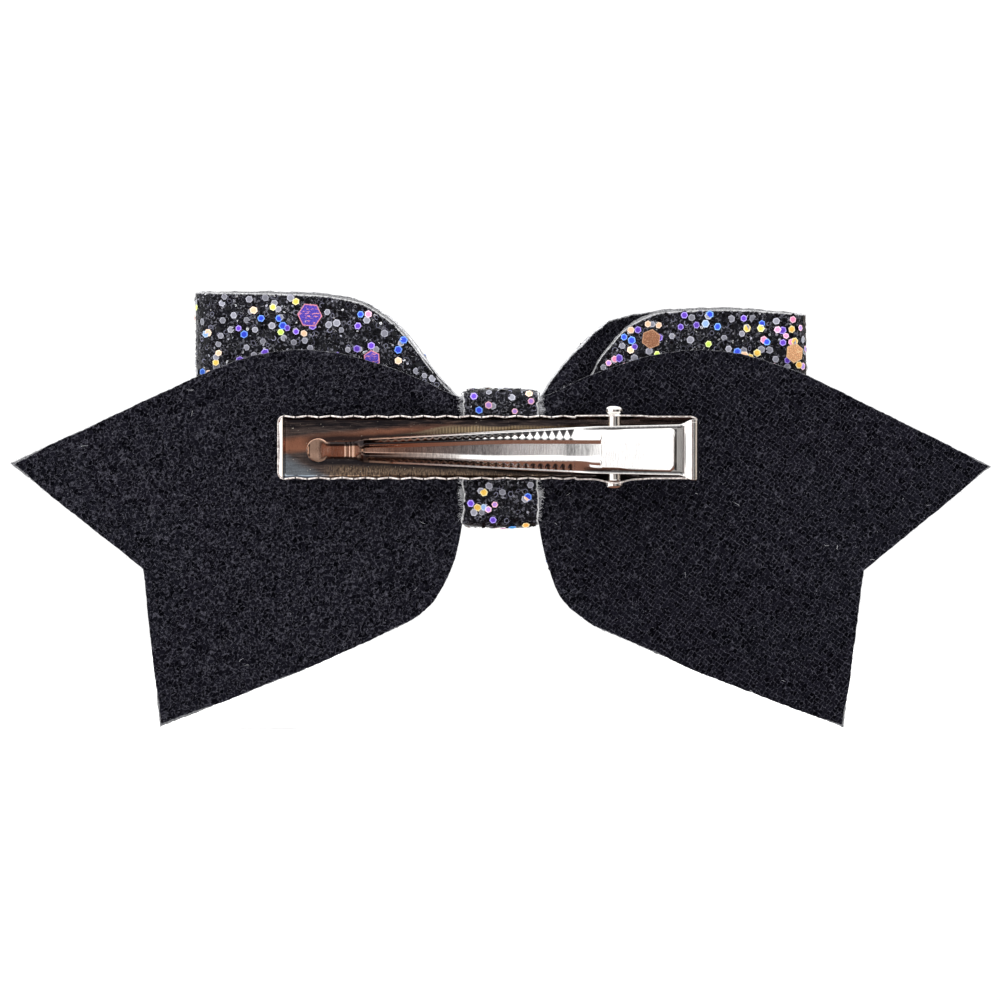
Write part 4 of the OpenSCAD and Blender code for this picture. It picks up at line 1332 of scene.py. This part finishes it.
# ---------------------------------------------------------------- frayed fibres and lint
def fibres(name, starts, ways, lengths, radius, seed, curl=0.6):
    """Short tapering fibres, each bent to one side."""
    rng = np.random.default_rng(seed)
    t = np.linspace(0, 1, 5)[:, None]
    paths, radii = [], []
    for p, way, length in zip(starts, ways, lengths):
        side = rng.normal(0, 1, 3)
        side -= way * (side @ way)
        paths.append(p + way * length * t + side * curl * length * t**2 * 0.5)
        radii.append(radius * (1 - 0.55 * t[:, 0]) * rng.uniform(0.7, 1.2))
    settle(make_object(name, *tubes(paths, radii, 4), [LINT], sharp_deg=0))


def border_fibres(name, lines, count, reach, seed, keep, lift=0.0, clumps=0.0):
    """Short fibres standing out of a sheet's cut edges, gathered in tufts as far as clumps asks."""
    rng = np.random.default_rng(seed)
    starts, ways, lengths = [], [], []
    for line, inner in lines:
        out = unit(line - inner)
        run = np.linalg.norm(np.diff(line, axis=0), axis=1)
        tuft = np.clip(wobble(1.7 * np.cumsum(run), seed), 0, None)
        share = run * (1 - clumps + clumps * np.minimum(tuft, 1.2))
        pick = rng.choice(len(run), size=int(count * run.sum()), p=share / share.sum())
        t = rng.random(len(pick))[:, None]
        p = (1 - t) * line[pick] + t * line[pick + 1]
        w = unit(out[pick] + rng.normal(0, 0.5, (len(pick), 3)) * [1, 0.5, 1])
        length = rng.uniform(*reach, len(pick)) * (1 + 0.5 * clumps * np.minimum(tuft[pick], 1))
        good = keep(p)
        starts.append(p[good] - w[good] * 0.08 + [0, lift, 0])
        ways.append(w[good])
        lengths.append(length[good])
    starts, ways, lengths = (np.concatenate(parts) for parts in (starts, ways, lengths))
    fibres(name, starts, ways, lengths, 0.022, seed + 1)


def side_edges(grid):
    """The first and last line along a grid, each with its neighbour further in."""
    return [(grid[:, 0], grid[:, 1]), (grid[:, -1], grid[:, -2])]


def beyond_knot(p):
    return np.abs(p[:, 0]) > NECK_X + 0.5


def outside_knot(p):
    return (p[:, 1] < BAND_LO[1] + 1.2) | (p[:, 1] > BAND_HI[1] - 1.0)


def knit_lint(count=26, seed=81):
    """A few long fibres lying on the tails' knit, clear of the clip."""
    rng = np.random.default_rng(seed)
    i, j = rng.integers(0, [len(TAIL_KNIT), ROWS], (count, 2)).T
    at = TAIL_KNIT[i, j] + grid_normals(TAIL_KNIT)[i, j] * TAIL_OUT * (LAYER_T + 0.04)
    clear_of_clip = (np.abs(at[:, 2] - CLIP_Z) > 5.5) | (at[:, 0] > 31)
    clear = (np.abs(at[:, 0]) > NECK_X + 1) & clear_of_clip
    way = unit(rng.normal(0, 1, (count, 3)) * [1, 0.05, 1])
    lengths = rng.uniform(0.4, 1.3, count)
    fibres("knit_lint", at[clear], way[clear], lengths[clear], 0.02, seed + 1, curl=0.5)


upper, lower = side_edges(TAIL_FACE)
halves = [tuple(line[part] for line in upper) for part in (slice(COLS, None), slice(COLS))]
tail_lines = [*halves, lower, (TAIL_FACE[0], TAIL_FACE[1]), (TAIL_FACE[-1], TAIL_FACE[-2])]
border_fibres("tails_fray", tail_lines, 2.6, (0.15, 0.5), 61, beyond_knot, lift=-0.25)
border_fibres("loops_fray", side_edges(LOOP_GRID), 2.6, (0.15, 0.45), 63, beyond_knot)
border_fibres("band_fray", side_edges(BAND_GRID), 34, (0.2, 0.75), 65, outside_knot, clumps=0.75)
knit_lint()

# ---------------------------------------------------------------- floor, light, camera
CENTRE_X, CENTRE_Z, CAMERA_Y = 0.00007, -0.00564, 1.1192
FLOOR_HALF, FLOOR_Z = 0.6, (KNIT_LO[2] - 0.6) * MM
WHITE = (1, 1, 1)


def floor_plane():
    """A plain floor of matt, faintly mottled paper, unseen by the metal."""
    g = Graph(bpy.data.materials.new("stage_paper"))
    grain = g.noise(g.coords(40), 2.0, 2.0)
    pale = (0.93, 0.93, 0.93)
    colour = g.mix(grain, pale, tuple(c * 0.985 for c in pale))
    corners = [(x * FLOOR_HALF, y * FLOOR_HALF, FLOOR_Z) for x, y in ((-1, -1), (1, -1), (1, 1), (-1, 1))]
    mesh = bpy.data.meshes.new("floor")
    mesh.from_pydata(corners, [], [[0, 1, 2, 3]])
    mesh.materials.append(g.finish(base_color=colour, roughness=0.9, specular_ior_level=0.1))
    obj = bpy.data.objects.new("floor", mesh)
    bpy.context.scene.collection.objects.link(obj)
    obj.visible_glossy = False


def soft_light(name, at, size, power):
    """A rectangular light that faces the bow and is itself unseen."""
    lamp = bpy.data.lights.new(name, "AREA")
    lamp.shape, lamp.size, lamp.size_y = "RECTANGLE", size[0], size[1]
    lamp.energy = power
    obj = bpy.data.objects.new(name, lamp)
    bpy.context.scene.collection.objects.link(obj)
    obj.location = at
    towards_bow = Vector((0, 0, 0)) - Vector(at)
    obj.rotation_euler = towards_bow.to_track_quat("-Z", "Y").to_euler()
    obj.visible_camera = obj.visible_glossy = False


def studio_world(fill):
    """White to the camera, even light on cloth, and in metal a studio of white boxes and dark cards."""
    world = bpy.data.worlds.new("studio")
    bpy.context.scene.world = world
    g = Graph(world)
    g.tree.nodes.clear()
    direction = g.out("ShaderNodeTexCoord", output="Generated")
    x, y, z = g.axes(direction)
    turn, rise = g.calc("ARCTAN2", x, y), g.calc("ARCSINE", z)
    up = rise + (g.noise(direction, 30.0, 3.0, 0.5) - 0.5) * 0.05
    side = turn + (g.noise(direction, 4.0, 2.0, 0.5) - 0.5) * 0.10

    def ramp(angle, start, end):
        return g.between(angle, start, end, way="SMOOTHSTEP")

    # The cards, each over the ones before: its share of the view in every direction, and its colour
    cards = [
        (ramp(side, 0.06, 0.09), (0.035, 0.030, 0.034)),
        (ramp(side, 0.15, 0.20), (0.30, 0.145, 0.10)),
        (ramp(side, 0.265, 0.31), (0.40, 0.395, 0.41)),
        (ramp(side, 0.375, 0.42), (1.6, 1.6, 1.6)),
        (ramp(turn, -0.35, -0.5), (0.05, 0.045, 0.045)),
        (ramp(turn, -0.9, -1.1) * ramp(abs(rise), 0.25, 0.15), (0.75, 0.66, 0.58)),
        (ramp(rise, -0.55, -0.70), (0.24, 0.115, 0.08)),
        (ramp(rise, 0.24, 0.30), (1.6, 1.6, 1.6)),
    ]
    colour = g.mix(ramp(up, 0.0, 0.05), (0.40, 0.39, 0.38), (0.46, 0.45, 0.44))
    for share, card in cards:
        colour = g.mix(share, colour, card)

    def seen_by(ray, other, own, strength):
        own = g.out("ShaderNodeBackground", {"Color": own, "Strength": strength})
        return g.out("ShaderNodeMixShader", {0: g.out("ShaderNodeLightPath", output=ray), 1: other, 2: own})

    even = g.out("ShaderNodeBackground", {"Color": WHITE, "Strength": fill})
    in_metal = seen_by("Is Glossy Ray", even, colour, 1.0)
    g.node("ShaderNodeOutputWorld", {"Surface": seen_by("Is Camera Ray", in_metal, WHITE, 1.1)})


def add_camera():
    data = bpy.data.cameras.new("camera")
    data.lens, data.sensor_width = 300, 36
    data.clip_start, data.clip_end = 0.05, 10
    camera = bpy.data.objects.new("camera", data)
    camera.location = (CENTRE_X, CAMERA_Y, CENTRE_Z)
    camera.rotation_euler = (math.radians(90), 0, math.radians(180))
    bpy.context.scene.collection.objects.link(camera)
    bpy.context.scene.camera = camera


floor_plane()
studio_world(0.50)
soft_light("key", (0.25, 0.75, 0.55), (0.3, 0.3), 2.0)
soft_light("fill", (-0.55, 0.55, 0.25), (0.3, 0.5), 0.8)
soft_light("overhead", (0, 0, 0.95), (1.5, 1.5), 30.0)
add_camera()
bpy.context.scene.view_settings.view_transform = "Standard"
bpy.context.scene.view_settings.look = "None"
